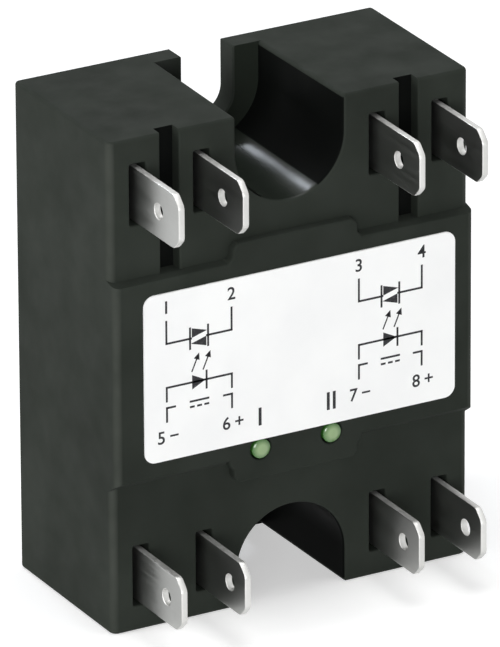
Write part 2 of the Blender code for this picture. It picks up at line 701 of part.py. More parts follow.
def guide_shape(back):
    """Turned guide with a collar behind the front wall and a domed end that stands out of the panel."""
    collar_front = CAVITY_FRONT + CLEAR
    collar_back = collar_front + LIGHT_COLLAR_THICKNESS
    profile = [(0, back), (LIGHT_RADIUS, back), (LIGHT_RADIUS, collar_back)]
    profile += [(LIGHT_COLLAR_RADIUS, collar_back), (LIGHT_COLLAR_RADIUS, collar_front)]
    profile += [(LIGHT_RADIUS, collar_front)]
    dome = [(LIGHT_RADIUS * c, PANEL_FRONT - LIGHT_DOME * s) for c, s in arc((0, 0), 1, 0, 90, CORNER_STEPS)]
    bm = bmesh.new()
    verts = [bm.verts.new((radius, y, 0)) for radius, y in profile + dome]
    edges = [bm.edges.new(pair) for pair in zip(verts, verts[1:])]
    bmesh.ops.spin(
        bm, geom=verts + edges, cent=(0, 0, 0), axis=(0, 1, 0), angle=math.tau, steps=ROUND_STEPS,
        use_merge=True
    )
    bmesh.ops.remove_doubles(bm, verts=bm.verts, dist=GLUE / 10)
    return bm


def make_fill(parent, material):
    """Cast fill with passages for the risers and the gate leads."""
    outline = notched_outline(
        CAVITY_HALF_X - CLEAR, -CAVITY_HALF_Z + CLEAR, CAVITY_HALF_Z - CLEAR, CLEAR, CAVITY_NOTCH + CLEAR
    )
    fill = add_piece("casting_fill", prism(Y_AXIS, FILL_FRONT, FILL_BACK, outline), material, parent)
    bm = bmesh.new()
    front = FILL_FRONT - OVERSHOOT
    back = FILL_BACK + OVERSHOOT
    for x in tab_places():
        half = TAB_THICKNESS / 2 + CLEAR
        block((x - half, front, RISER_LOW - CLEAR), (x + half, back, RISER_LOW + RISER_WIDTH + CLEAR), bm)
    half = GATE_PIN / 2 + CLEAR
    for mirror in POLES.values():
        for x, z, way in GATE_PLACES.values():
            block((mirror * x - half, front, z - half), (mirror * x + half, back, z + half), bm)
    shape_with(fill, "fill_passages", bm, "DIFFERENCE")


def make_finishes():
    """Return the materials by the name of what they stand for."""
    return {
        "black": make_material("black_moulding", (0.03, 0.031, 0.03), 0.35),
        "nickel": make_material("nickel_plating", (0.66, 0.65, 0.62), 0.3, 1.0),
        "tinned": make_material("tinned_brass", (0.76, 0.75, 0.72), 0.25, 1.0),
        "paper": make_material("label_film", (0.86, 0.87, 0.86), 0.45),
        "lens": make_material("green_lens", (0.12, 0.55, 0.1), 0.15),
        "emitter": make_material("emitter_case", (0.8, 0.82, 0.7), 0.4),
        "ceramic": make_material("white_ceramic", (0.85, 0.85, 0.82), 0.5),
        "copper": make_material("bare_copper", (0.72, 0.36, 0.2), 0.35, 1.0),
        "silicon": make_material("silicon", (0.2, 0.21, 0.24), 0.2, 0.6),
        "board": make_material("green_board", (0.03, 0.2, 0.08), 0.4),
        "case": make_material("moulded_case", (0.05, 0.05, 0.05), 0.5),
        "ink": make_material("resistor_body", (0.08, 0.08, 0.1), 0.4),
        "fill": make_material("cast_fill", (0.12, 0.12, 0.13), 0.3),
    }


def main():
    """Build every piece under one empty."""
    clear_scene()
    relay = bpy.data.objects.new("solid_state_relay", None)
    bpy.context.scene.collection.objects.link(relay)
    finish = make_finishes()
    make_housing(relay, finish["black"])
    make_base_plate(relay, finish["nickel"])
    make_label(relay, finish["paper"])
    make_terminals(relay, finish["tinned"])
    make_power_stage(relay, finish)
    make_board(relay, finish["board"])
    make_board_parts(relay, finish)
    make_indicators(relay, finish)
    make_fill(relay, finish["fill"])


main()
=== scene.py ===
"""Two-pole panel-mount solid state relay with push-on tabs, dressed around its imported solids.

Metres, +Z up. The label and the tabs face -Y, and the lower end stands on the floor.
"""
import json
import logging
import math
from dataclasses import dataclass, field
from enum import Enum
from typing import Iterable

import bmesh
import bpy
from bmesh.types import BMEdge, BMesh, BMFace, BMVert
from bpy.types import ID, Material, Mesh, Node, NodeSocket, NodeTree, Object
from mathutils import Matrix, Vector


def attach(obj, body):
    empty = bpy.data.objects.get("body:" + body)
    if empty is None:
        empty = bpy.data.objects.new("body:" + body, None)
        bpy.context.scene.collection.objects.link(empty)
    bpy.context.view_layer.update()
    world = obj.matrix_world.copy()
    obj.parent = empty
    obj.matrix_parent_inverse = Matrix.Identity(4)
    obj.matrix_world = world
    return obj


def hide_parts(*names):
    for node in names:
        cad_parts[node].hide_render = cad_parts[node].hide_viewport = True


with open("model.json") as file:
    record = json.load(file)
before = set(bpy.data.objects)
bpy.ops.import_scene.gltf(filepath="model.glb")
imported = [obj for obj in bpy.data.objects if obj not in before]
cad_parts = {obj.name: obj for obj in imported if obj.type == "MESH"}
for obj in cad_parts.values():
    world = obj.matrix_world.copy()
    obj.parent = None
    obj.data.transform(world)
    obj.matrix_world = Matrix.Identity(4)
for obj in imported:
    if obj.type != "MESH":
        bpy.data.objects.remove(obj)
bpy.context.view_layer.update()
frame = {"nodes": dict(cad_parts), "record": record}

Pair = tuple[float, float]
Place = tuple[float, float, float]
Colour = tuple[float, float, float]

MM = 0.001
BODY = "root"
QUARTER_TURN = math.pi / 2
UPRIGHT = Matrix.Rotation(QUARTER_TURN, 4, "X")
# Folds above the first angle stay sharp, and faces within the second count as one flat face.
SMOOTH_ANGLE = math.radians(32)
FLAT_ANGLE = math.radians(0.2)
# Corners nearer than this are one corner.
MERGE = 1e-6
# How far a cutter reaches past the face that it cuts.
OVERSHOOT = 1.0 * MM
RIM_STEPS = 4
ROUND_STEPS = 48
# Corners of a stepped outline at the ends of its middle part.
MIDDLE_ENDS = (2, 3, 8, 9)
WHITE: Colour = (1.0, 1.0, 1.0)
# x and z of the right-hand indicator; the left-hand one mirrors it.
LIGHT_PLACE: Pair = (4.45 * MM, -10.05 * MM)
LENS_RADIUS = 1.15 * MM

log = logging.getLogger("relay")


class Carve(Enum):
    """What a shape does to the piece it meets."""

    JOIN = "UNION"
    CUT = "DIFFERENCE"


class Sum(Enum):
    """Sums that a node can work out."""

    PRODUCT = "MULTIPLY"
    DIFFERENCE = "SUBTRACT"
    SIZE = "ABSOLUTE"
    LARGER = "MAXIMUM"


class Row(Enum):
    """Row of tabs, by the sign of its height."""

    OUTPUT = 1
    INPUT = -1


class HousingFinish(Enum):
    """Finishes of the moulded shell, numbered as its faces count them. The last is a darker colour, painted
    shade in its hollows.
    """

    OUTSIDE = 0
    POLISHED = 1
    SHADED = 2


class Slot(Enum):
    """Material slots of the record."""

    MOULDING = "black_moulding"
    NICKEL = "nickel_plating"
    TIN = "tinned_brass"
    FILM = "label_film"
    LENS = "green_lens"
    EMITTER = "emitter_case"
    CERAMIC = "white_ceramic"
    COPPER = "bare_copper"
    SILICON = "silicon"
    BOARD = "green_board"
    CASE = "moulded_case"
    RESISTOR = "resistor_body"
    FILL = "cast_fill"


@dataclass(frozen=True)
class Levels:
    """Depths along Y that several pieces share."""

    rim_back: float = -0.3 * MM
    ledge: float = -3.3 * MM
    seat: float = -3.3 * MM
    cavity_front: float = -19.85 * MM
    front: float = -21.85 * MM
    panel_front: float = -23.1 * MM
    tab_tip: float = -31.75 * MM


LEVELS = Levels()


@dataclass(frozen=True)
class Grain:
    """Pattern of a finish: its noise, the span of the noise that is used, and how it is stretched."""

    scale: float
    detail: float = 3.0
    span: Pair = (0.3, 0.7)
    stretch: Place = (1.0, 1.0, 1.0)


class NodeGraph:
    """Node tree that nodes are added to."""

    def __init__(self, tree: NodeTree) -> None:
        """Keep the tree."""
        self.tree = tree

    def node(self, kind: str, inputs: dict[str | int, object], **options: object) -> Node:
        """Add a node.

        Args:
            kind: Blender's name of the node type.
            inputs: values or source sockets, by socket.
            options: settings of the node itself.

        Returns:
            The new node.
        """
        made = self.tree.nodes.new(kind)
        for name, value in options.items():
            setattr(made, name, value)
        for name, value in inputs.items():
            if isinstance(value, NodeSocket):
                self.tree.links.new(value, made.inputs[name])
            else:
                made.inputs[name].default_value = value
        return made

    def work_out(self, kind: Sum, *values: float | NodeSocket) -> NodeSocket:
        """Return the result of a sum."""
        return self.node("ShaderNodeMath", dict(enumerate(values)), operation=kind.value).outputs[0]

    def spread(self, source: NodeSocket, span: Pair, start: float = 0.0, end: float = 1.0) -> NodeSocket:
        """Return a source mapped from a span to start..end, and held there."""
        values = {0: source, 1: span[0], 2: span[1], 3: start, 4: end}
        return self.node("ShaderNodeMapRange", values, clamp=True).outputs[0]


class Paint(NodeGraph):
    """Material with one Principled shader, and the kinds of node that the finishes share."""

    def __init__(self, name: str) -> None:
        """Start the material.

        Args:
            name: its name.
        """
        self.material: Material = bpy.data.materials.new(name)
        self.material.use_nodes = True
        super().__init__(self.material.node_tree)
        self.shader: Node = self.tree.nodes["Principled BSDF"]
        coordinates = self.tree.nodes.new("ShaderNodeTexCoord")
        self.place: NodeSocket = coordinates.outputs["Object"]
        self.facing: NodeSocket = coordinates.outputs["Normal"]

    def set(self, **sockets: float) -> None:
        """Set plain values on the shader's own sockets, named with _ for spaces."""
        for name, value in sockets.items():
            self.shader.inputs[name.replace("_", " ")].default_value = value

    def feed(self, socket: str, source: NodeSocket) -> None:
        """Link a source to one of the shader's sockets."""
        self.tree.links.new(source, self.shader.inputs[socket])

    def noise(self, grain: Grain) -> NodeSocket:
        """Return the noise of a grain.

        Args:
            grain: the grain, stretched by the inverse of its scales.

        Returns:
            Values between 0 and 1.
        """
        place = self.node("ShaderNodeMapping", {"Vector": self.place, "Scale": grain.stretch}).outputs[0]
        inputs = {"Vector": place, "Scale": grain.scale, "Detail": grain.detail}
        return self.node("ShaderNodeTexNoise", inputs).outputs[0]

    def pattern(self, grain: Grain, start: float = 0.0, end: float = 1.0) -> NodeSocket:
        """Return the noise of a grain, mapped from its span to start..end."""
        return self.spread(self.noise(grain), grain.span, start, end)

    def parts(self, source: NodeSocket) -> tuple[NodeSocket, NodeSocket, NodeSocket]:
        """Return the x, y and z of a source."""
        return tuple(self.node("ShaderNodeSeparateXYZ", {0: source}).outputs)

    def mix(self, factor: NodeSocket, first: Colour | NodeSocket, second: Colour) -> NodeSocket:
        """Return a colour between two others.

        Args:
            factor: share of the second colour.
            first: colour, or the source of one.
            second: the other colour.

        Returns:
            The mixed colour.
        """
        start = first if isinstance(first, NodeSocket) else (*first, 1.0)
        inputs = {0: factor, 6: start, 7: (*second, 1.0)}
        return self.node("ShaderNodeMix", inputs, data_type="RGBA").outputs[2]

    def bump(self, height: NodeSocket, strength: float, depth: float) -> None:
        """Feed the shader's normal with a fine relief of a strength and depth."""
        inputs = {"Height": height, "Strength": strength, "Distance": depth}
        self.feed("Normal", self.node("ShaderNodeBump", inputs).outputs[0])


class Finish:
    """Finish of a piece, which becomes a material."""

    name: str

    def dress(self, paint: Paint) -> None:
        """Lay the finish on a new material."""
        raise NotImplementedError

    def material(self) -> Material:
        """Make the finish's material.

        Returns:
            The new material.
        """
        paint = Paint(self.name)
        self.dress(paint)
        return paint.material


@dataclass(frozen=True)
class BlackMoulding(Finish):
    """Black moulded thermoplastic, cloudy from release agent and handling, with the grain of its mould, and
    upright corners made paler: partly rubbing, partly a painted highlight.
    """

    name: str
    smooth: float
    rough: float
    relief: float
    specular: float
    deep: Colour = (0.0118, 0.0149, 0.0115)
    pale: Colour = (0.0187, 0.0230, 0.0183)
    # Pale colour of the upright corners: rubbing, and a painted highlight where the rounded corners would
    # catch light.
    rubbed: Colour = (0.034, 0.0385, 0.0325)
    cloud: Grain = Grain(75.0, 4.0)
    sheen: Grain = Grain(240.0, 5.0)
    mould: Grain = Grain(5200.0, 2.0)
    mould_depth: float = 0.02 * MM
    rub_patches: Grain = Grain(260.0, 3.0, (0.3, 0.6))
    least_rub: float = 0.55
    rub_reach: Pair = (21.55 * MM, 21.75 * MM)
    rub_turn: Pair = (0.0, 0.5)

    def dress(self, paint: Paint) -> None:
        """Lay the finish on.

        Args:
            paint: material to work on.
        """
        colour = paint.mix(paint.pattern(self.cloud), self.deep, self.pale)
        # Upright corners turn paler: partly rubbing, partly painted highlight.
        paint.feed("Base Color", paint.mix(self.wear(paint), colour, self.rubbed))
        paint.feed("Roughness", paint.pattern(self.sheen, self.smooth, self.rough))
        paint.set(Specular_IOR_Level=self.specular)
        paint.bump(paint.noise(self.mould), self.relief, self.mould_depth)

    def wear(self, paint: Paint) -> NodeSocket:
        """Work out how far the upright corners are rubbed pale and carry a painted highlight.

        Args:
            paint: material to work on.

        Returns:
            0 on flat faces, and up to 1 where a corner is roundest.
        """
        facing_x, facing_y, _ = paint.parts(paint.facing)
        turned = paint.work_out(Sum.SIZE, paint.work_out(Sum.PRODUCT, facing_x, facing_y))
        across = paint.work_out(Sum.SIZE, paint.parts(paint.place)[0])
        corner, outer = paint.spread(turned, self.rub_turn), paint.spread(across, self.rub_reach)
        patchy = paint.pattern(self.rub_patches, self.least_rub, 1.0)
        return paint.work_out(Sum.PRODUCT, paint.work_out(Sum.PRODUCT, corner, outer), patchy)


@dataclass(frozen=True)
class RolledMetal(Finish):
    """Plated strip or plate with fine lines along its rolling direction and faint dull patches."""

    name: str
    bright: Colour
    dull: Colour
    smooth: float
    rough: float
    lines: Grain
    patches: Grain = Grain(180.0, 3.0, (0.42, 0.7))
    relief: float = 0.03
    relief_depth: float = 0.01 * MM

    def dress(self, paint: Paint) -> None:
        """Lay the finish on.

        Args:
            paint: material to work on.
        """
        lines = paint.noise(self.lines)
        paint.feed("Base Color", paint.mix(paint.pattern(self.patches), self.bright, self.dull))
        paint.feed("Roughness", paint.spread(lines, self.lines.span, self.smooth, self.rough))
        paint.set(Metallic=1.0)
        paint.bump(lines, self.relief, self.relief_depth)


@dataclass(frozen=True)
class LabelFilm(Finish):
    """White polyester film, faintly uneven."""

    name: str = "label_film"
    white: Colour = (0.90, 0.905, 0.90)
    shade: Colour = (0.86, 0.865, 0.865)
    smooth: float = 0.38
    rough: float = 0.5
    specular: float = 0.35
    cloud: Grain = Grain(140.0, 3.0, (0.35, 0.7))
    tooth: Grain = Grain(900.0, 2.0)

    def dress(self, paint: Paint) -> None:
        """Lay the finish on.

        Args:
            paint: material to work on.
        """
        paint.feed("Base Color", paint.mix(paint.pattern(self.cloud), self.white, self.shade))
        paint.feed("Roughness", paint.pattern(self.tooth, self.smooth, self.rough))
        paint.set(Specular_IOR_Level=self.specular)


@dataclass(frozen=True)
class Ink(Finish):
    """Black print on the label, not quite solid."""

    name: str = "label_ink"
    solid: Colour = (0.012, 0.012, 0.014)
    thin: Colour = (0.05, 0.05, 0.055)
    roughness: float = 0.5
    specular: float = 0.3
    specks: Grain = Grain(3200.0, 2.0, (0.5, 0.75))

    def dress(self, paint: Paint) -> None:
        """Lay the finish on."""
        paint.feed("Base Color", paint.mix(paint.pattern(self.specks), self.solid, self.thin))
        paint.set(Roughness=self.roughness, Specular_IOR_Level=self.specular)


@dataclass(frozen=True)
class GreenLens(Finish):
    """Clear green moulding, paler green in its middle and deeper green towards its rim."""

    name: str = "green_lens"
    core: Colour = (0.235, 0.345, 0.165)
    rim: Colour = (0.03, 0.12, 0.018)
    core_share: float = 0.45
    smooth: float = 0.12
    rough: float = 0.2
    coat: float = 0.25
    coat_roughness: float = 0.12
    haze: Grain = Grain(1500.0, 2.0)

    def dress(self, paint: Paint) -> None:
        """Lay the finish on.

        Args:
            paint: material to work on.
        """
        x, _, z = paint.parts(paint.place)
        out_x = paint.work_out(Sum.DIFFERENCE, paint.work_out(Sum.SIZE, x), LIGHT_PLACE[0])
        out_z = paint.work_out(Sum.DIFFERENCE, z, LIGHT_PLACE[1])
        flat = paint.node("ShaderNodeCombineXYZ", {0: out_x, 2: out_z}).outputs[0]
        reach = paint.node("ShaderNodeVectorMath", {0: flat}, operation="LENGTH").outputs["Value"]
        edge = paint.spread(reach, (self.core_share * LENS_RADIUS, LENS_RADIUS))
        paint.feed("Base Color", paint.mix(edge, self.core, self.rim))
        paint.feed("Roughness", paint.pattern(self.haze, self.smooth, self.rough))
        paint.set(Coat_Weight=self.coat, Coat_Roughness=self.coat_roughness)


@dataclass(frozen=True)
class InnerFinish(Finish):
    """Finish of a piece inside the housing: two colours in fine grain."""

    slot: Slot
    first: Colour
    second: Colour
    scale: float
    roughness: float
    metallic: float = 0.0
    detail: float = 4.0
    colour_span: Pair = (0.35, 0.65)
    unevenness: float = 0.2
    relief: float = 0.1
    relief_depth: float = 0.01 * MM

    @property
    def name(self) -> str:
        """Return the name of its slot."""
        return self.slot.value

    def dress(self, paint: Paint) -> None:
        """Lay the finish on.

        Args:
            paint: material to work on.
        """
        grain = Grain(self.scale, self.detail)
        noise = paint.noise(grain)
        smooth, rough = (1 - self.unevenness) * self.roughness, (1 + self.unevenness) * self.roughness
        paint.feed("Base Color", paint.mix(paint.spread(noise, self.colour_span), self.first, self.second))
        paint.feed("Roughness", paint.spread(noise, grain.span, smooth, rough))
        paint.set(Metallic=self.metallic)
        paint.bump(noise, self.relief, self.relief_depth)


@dataclass(frozen=True)
class Ring:
    """One outline of a cutter: its depth, and how far it grows past the opening's own outline."""

    depth: float
    grow: float


@dataclass(frozen=True)
class RoundEnd:
    """Round-ended opening at an end of the housing."""

    centre: float
    radius: float
    rim: float


def rounded_rim(plane: float, inward: int, radius: float) -> list[Ring]:
    """Return the rings that leave a rounded rim, from the plane inwards.

    Args:
        plane: depth of the face that the opening is cut into.
        inward: sign of the way into the material along Y.
        radius: radius of the rim.

    Returns:
        Rings in the order of their depth, the widest first.
    """
    turns = [QUARTER_TURN * step / RIM_STEPS for step in range(RIM_STEPS + 1)]
    return [Ring(plane + inward * radius * (1 - math.cos(a)), radius * (1 - math.sin(a))) for a in turns]


def stepped_outline(wide: float, narrow: float, sides: Pair, middle: Pair) -> list[Pair]:
    """Return the corners of a rectangle whose middle part ends at other heights than its sides.

    Args:
        wide: half its width.
        narrow: half the width of its middle part.
        sides: lowest and highest z at its sides.
        middle: lowest and highest z of its middle part.

    Returns:
        x and z of each corner. MIDDLE_ENDS counts those at the ends of the middle part.
    """
    bottom, top = sides
    low, high = middle
    return [
        (-wide, bottom), (-narrow, bottom), (-narrow, low), (narrow, low), (narrow, bottom), (wide, bottom),
        (wide, top), (narrow, top), (narrow, high), (-narrow, high), (-narrow, top), (-wide, top),
    ]


def flat_rectangle(bm: BMesh, low: Pair, high: Pair, depth: float) -> list[BMVert]:
    """Add a rectangle that faces along Y.

    Args:
        bm: mesh to add to.
        low: lowest x and z.
        high: highest x and z.
        depth: its y.

    Returns:
        Its four corners.
    """
    middle = Vector(((low[0] + high[0]) / 2, depth, (low[1] + high[1]) / 2))
    size = Matrix.Diagonal((high[0] - low[0], high[1] - low[1], 1.0, 1.0))
    place = Matrix.Translation(middle) @ UPRIGHT @ size
    return bmesh.ops.create_grid(bm, x_segments=1, y_segments=1, size=0.5, matrix=place)["verts"]


def flat_outline(bm: BMesh, corners: Iterable[Pair], depth: float) -> list[BMVert]:
    """Add a face along Y through a few corners.

    Args:
        bm: mesh to add to.
        corners: x and z of each corner.
        depth: its y.

    Returns:
        Its corners.
    """
    verts = [bm.verts.new((x, depth, z)) for x, z in corners]
    bm.faces.new(verts)
    return verts


def flat_circle(bm: BMesh, place: Matrix, radius: float, steps: int) -> BMFace:
    """Add a round face.

    Args:
        bm: mesh to add to.
        place: where its middle is, and which way it faces.
        radius: its radius.
        steps: number of its corners.

    Returns:
        The face.
    """
    made = bmesh.ops.create_circle(bm, cap_ends=True, segments=steps, radius=radius, matrix=place)
    return made["verts"][0].link_faces[0]


def round_corners(bm: BMesh, corners: list[BMVert], radius: float, segments: int) -> BMFace:
    """Round corners of a flat face.

    Args:
        bm: mesh of the face.
        corners: its corners to round.
        radius: their radius.
        segments: steps in each round.

    Returns:
        The rounded face.
    """
    made = bmesh.ops.bevel(
        bm, geom=corners, offset=radius, offset_type="OFFSET", segments=segments, profile=0.5,
        affect="VERTICES", material=-1, clamp_overlap=False,
    )
    return made["verts"][0].link_faces[0]


def soften(bm: BMesh, edges: list[BMEdge], radius: float, segments: int) -> None:
    """Round edges of a shape.

    Args:
        bm: the shape.
        edges: its edges to round.
        radius: their radius.
        segments: steps in each round.
    """
    bmesh.ops.bevel(
        bm, geom=edges, offset=radius, offset_type="OFFSET", segments=segments, profile=0.5,
        affect="EDGES", material=-1, clamp_overlap=False,
    )


def stack(bm: BMesh, faces: list[BMFace]) -> BMesh:
    """Join outlines of as many corners into one solid.

    Args:
        bm: mesh of the outlines.
        faces: the outlines, in their order.

    Returns:
        The same mesh.
    """
    loops = [list(face.edges) for face in faces]
    bmesh.ops.delete(bm, geom=faces[1:-1], context="FACES_ONLY")
    for low, high in zip(loops, loops[1:]):
        bmesh.ops.bridge_loops(bm, edges=low + high)
    return bm


def box_shape(low: Place, high: Place) -> BMesh:
    """Make a box between two corners.

    Args:
        low: its lowest corner.
        high: its highest corner.

    Returns:
        The box.
    """
    bm = bmesh.new()
    size = Matrix.Diagonal((*(high[axis] - low[axis] for axis in range(3)), 1.0))
    middle = Matrix.Translation(Vector([(high[axis] + low[axis]) / 2 for axis in range(3)]))
    bmesh.ops.create_cube(bm, size=1.0, matrix=middle @ size)
    return bm


def thicken(bm: BMesh, faces: list[BMFace], way: Vector) -> BMesh:
    """Extrude flat faces into solids.

    Args:
        bm: mesh of the faces.
        faces: the faces.
        way: how far and which way they grow.

    Returns:
        The same mesh.
    """
    whole = [item for face in faces for item in (face, *face.edges, *face.verts)]
    grown = bmesh.ops.extrude_face_region(bm, geom=list(dict.fromkeys(whole)), use_keep_orig=True)
    moved = [item for item in grown["geom"] if isinstance(item, BMVert)]
    bmesh.ops.translate(bm, verts=moved, vec=way)
    bmesh.ops.recalc_face_normals(bm, faces=bm.faces)
    return bm


def mesh_from(name: str, bm: BMesh) -> Mesh:
    """Turn a shape into a mesh and free it.

    Args:
        name: name of the mesh.
        bm: the shape.

    Returns:
        The mesh.
    """
    mesh = bpy.data.meshes.new(name)
    bm.to_mesh(mesh)
    bm.free()
    return mesh


def link_object(name: str, data: ID) -> Object:
    """Put data into the scene.

    Args:
        name: name of the new object.
        data: mesh, text, lamp or camera that it holds.

    Returns:
        The object.
    """
    made = bpy.data.objects.new(name, data)
    bpy.context.scene.collection.objects.link(made)
    return made


class Carver:
    """Builds one piece from a body and the shapes that are joined to it or cut out of it."""

    def __init__(self, body: BMesh) -> None:
        """Start from a closed shape, which is used up here."""
        self.tools: list[Object] = []
        self.piece = self.solid("carved_body", body)

    @staticmethod
    def solid(name: str, bm: BMesh) -> Object:
        """Return an object that holds a shape, with its faces turned outwards."""
        bmesh.ops.recalc_face_normals(bm, faces=bm.faces)
        return link_object(name, mesh_from(name, bm))

    def apply(self, shape: BMesh, change: Carve) -> None:
        """Join a shape to the piece, or cut it out.

        Args:
            shape: closed shape, used up here.
            change: what it does.
        """
        tool = self.solid("carving_tool", shape)
        self.tools.append(tool)
        step = self.piece.modifiers.new(change.name, "BOOLEAN")
        step.operation = change.value
        step.solver = "EXACT"
        step.object = tool

    def result(self) -> BMesh:
        """Merge the carved piece's flat neighbours, and clear away what made it.

        Returns:
            The carved piece.
        """
        graph = bpy.context.evaluated_depsgraph_get()
        mesh = bpy.data.meshes.new_from_object(self.piece.evaluated_get(graph))
        bm = bmesh.new()
        bm.from_mesh(mesh)
        bpy.data.meshes.remove(mesh)
        for item in (self.piece, *self.tools):
            used = item.data
            bpy.data.objects.remove(item, do_unlink=True)
            bpy.data.meshes.remove(used)
        bmesh.ops.remove_doubles(bm, verts=bm.verts, dist=MERGE)
        bmesh.ops.dissolve_limit(
            bm, angle_limit=FLAT_ANGLE, use_dissolve_boundaries=False, verts=bm.verts, edges=bm.edges
        )
        return bm


def add_piece(name: str, bm: BMesh, finishes: list[Material], nodes: Iterable[str] = ()) -> None:
    """Make a riding piece from a finished shape.

    Args:
        name: name of the piece.
        bm: its shape, used up here.
        finishes: its materials, in the order that its faces count them.
        nodes: solids that it stands for.
    """
    bmesh.ops.recalc_face_normals(bm, faces=bm.faces)
    mesh = mesh_from(name, bm)
    for finish in finishes:
        mesh.materials.append(finish)
    mesh.shade_smooth()
    mesh.set_sharp_from_angle(angle=SMOOTH_ANGLE)
    piece = link_object(name, mesh)
    even = piece.modifiers.new("even_shading", "WEIGHTED_NORMAL")
    even.keep_sharp = True
    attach(piece, BODY)
    for node in nodes:
        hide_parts(node)
    log.info("%s: %d faces", name, len(mesh.polygons))


@dataclass
class Housing:
    """Moulded shell with its raised panel, screw notches, tab slots and grooves."""

    half_width: float = 22.5 * MM
    half_height: float = 29.1 * MM
    upright_radius: float = 0.9 * MM
    rear_radius: float = 0.5 * MM
    end_radius: float = 0.4 * MM
    rim_radius: float = 0.22 * MM
    round_steps: int = 6
    panel_top: float = 12.8 * MM
    panel_bottom: float = -11.6 * MM
    panel_root: float = 1.5 * MM
    panel_edge: float = 0.3 * MM
    panel_edge_steps: int = 3
    panel_fold: float = math.radians(40)
    top_slope: float = 0.25
    bottom_slope: float = 0.7
    tongue_half_width: float = 7.8 * MM
    tongue_reach: float = 2.0 * MM
    tongue_corner: float = 1.0 * MM
    tongue_root: float = 0.6 * MM
    notch_centre: float = 24.9 * MM
    notch_front_radius: float = 6.7 * MM
    notch_seat_radius: float = 6.4 * MM
    notch_rim: float = 0.42 * MM
    notch_quarter_steps: int = 20
    brim_margin: float = 0.05 * MM
    screw_centre: float = 23.8 * MM
    screw_radius: float = 3.2 * MM
    rim_wall: float = 1.5 * MM
    side_wall: float = 2.5 * MM
    notch_rim_wall: float = 1.9 * MM
    notch_side_wall: float = 2.6 * MM
    rebate_corner: float = 1.5 * MM
    cavity_corner: float = 0.3 * MM
    slot_half: Pair = (1.0 * MM, 3.6 * MM)
    slot_corner: float = 0.25 * MM
    groove_x: float = 14.9 * MM
    groove_half_width: float = 1.175 * MM
    groove_depth: float = 1.55 * MM
    groove_overlap: float = 0.1 * MM
    light_hole_radius: float = 1.3 * MM
    polished_half_width: float = 3.6 * MM
    wall_facing: float = 0.75
    seat_facing: float = 0.9

    def build(self, finishes: dict[HousingFinish, Material], tab_places: Iterable[Pair]) -> None:
        """Carve the shell and add it as a piece.

        Args:
            finishes: material of each of its finishes.
            tab_places: x and z of the tabs that pass through it.
        """
        rebate = self.hollow(LEVELS.ledge, self.rim_wall, self.notch_rim_wall, self.rebate_corner)
        cavity = self.hollow(LEVELS.cavity_front, self.side_wall, self.notch_side_wall, self.cavity_corner)
        carver = Carver(self.block())
        carver.apply(self.panel(), Carve.JOIN)
        carver.apply(rebate, Carve.CUT)
        carver.apply(cavity, Carve.CUT)
        for end in (1, -1):
            carver.apply(self.notch(end), Carve.CUT)
            carver.apply(self.screw_slot(end), Carve.CUT)
        for x, z in tab_places:
            carver.apply(self.tab_slot(x, z), Carve.CUT)
        for side in (1, -1):
            carver.apply(self.light_hole(side), Carve.CUT)
            carver.apply(self.groove(side), Carve.CUT)
        shell = carver.result()
        for face in shell.faces:
            face.material_index = self.finish_of(face).value
        materials = [finishes[finish] for finish in HousingFinish]
        add_piece("moulded_housing", shell, materials, ["housing"])

    def finish_of(self, face: BMFace) -> HousingFinish:
        """Tell which of the housing's finishes a face has.

        Args:
            face: face of the carved shell.

        Returns:
            Polished on the floor of the upper notch, and the darker colour of painted shade elsewhere in the
            notches and on the groove floors.
        """
        middle = face.calc_center_median()
        low = 0 < middle.z < self.notch_centre and abs(middle.x) < self.polished_half_width
        if low and self.in_notch(face):
            return HousingFinish.POLISHED
        # Other notch faces and the groove floors get the darker colour of painted shade.
        if self.in_notch(face) or self.in_groove(face):
            return HousingFinish.SHADED
        return HousingFinish.OUTSIDE

    def in_notch(self, face: BMFace) -> bool:
        """Tell whether a face is a wall or the seat of a screw notch.

        Args:
            face: face of the carved shell.

        Returns:
            True for those faces.
        """
        middle = face.calc_center_median()
        reach = self.notch_front_radius + self.notch_rim
        upright = self.notch_centre - reach < abs(middle.z) < self.half_height - self.notch_rim
        wall = LEVELS.front < middle.y < LEVELS.seat - MERGE and abs(face.normal.y) < self.wall_facing
        seat = abs(middle.y - LEVELS.seat) < MERGE and abs(face.normal.y) > self.seat_facing
        return abs(middle.x) < reach and upright and (wall or seat)

    def in_groove(self, face: BMFace) -> bool:
        """Tell whether a face is the floor of a groove between output tabs.

        Args:
            face: face of the carved shell.

        Returns:
            True for those faces.
        """
        middle = face.calc_center_median()
        between = abs(abs(middle.x) - self.groove_x) < self.groove_half_width
        deep = abs(middle.y - LEVELS.front - self.groove_depth) < MERGE
        return between and deep and middle.z > self.panel_top

    def block(self) -> BMesh:
        """Make the plain block with its edges rounded.

        Returns:
            The block.
        """
        low = (-self.half_width, LEVELS.front, -self.half_height)
        high = (self.half_width, LEVELS.rim_back, self.half_height)
        bm = box_shape(low, high)
        middle = (LEVELS.front + LEVELS.rim_back) / 2
        for radius, at_front in ((self.upright_radius, True), (self.rear_radius, False)):
            edges = [
                edge for edge in bm.edges
                if abs(edge.verts[0].co.z - edge.verts[1].co.z) > self.half_height
                and all((vert.co.y < middle) == at_front for vert in edge.verts)
                and self.at_side(edge)
            ]
            soften(bm, edges, radius, self.round_steps)
        ends = [
            edge for edge in bm.edges
            if abs(edge.verts[0].co.z + edge.verts[1].co.z) > 2 * (self.half_height - MERGE)
        ]
        soften(bm, ends, self.end_radius, RIM_STEPS)
        return bm

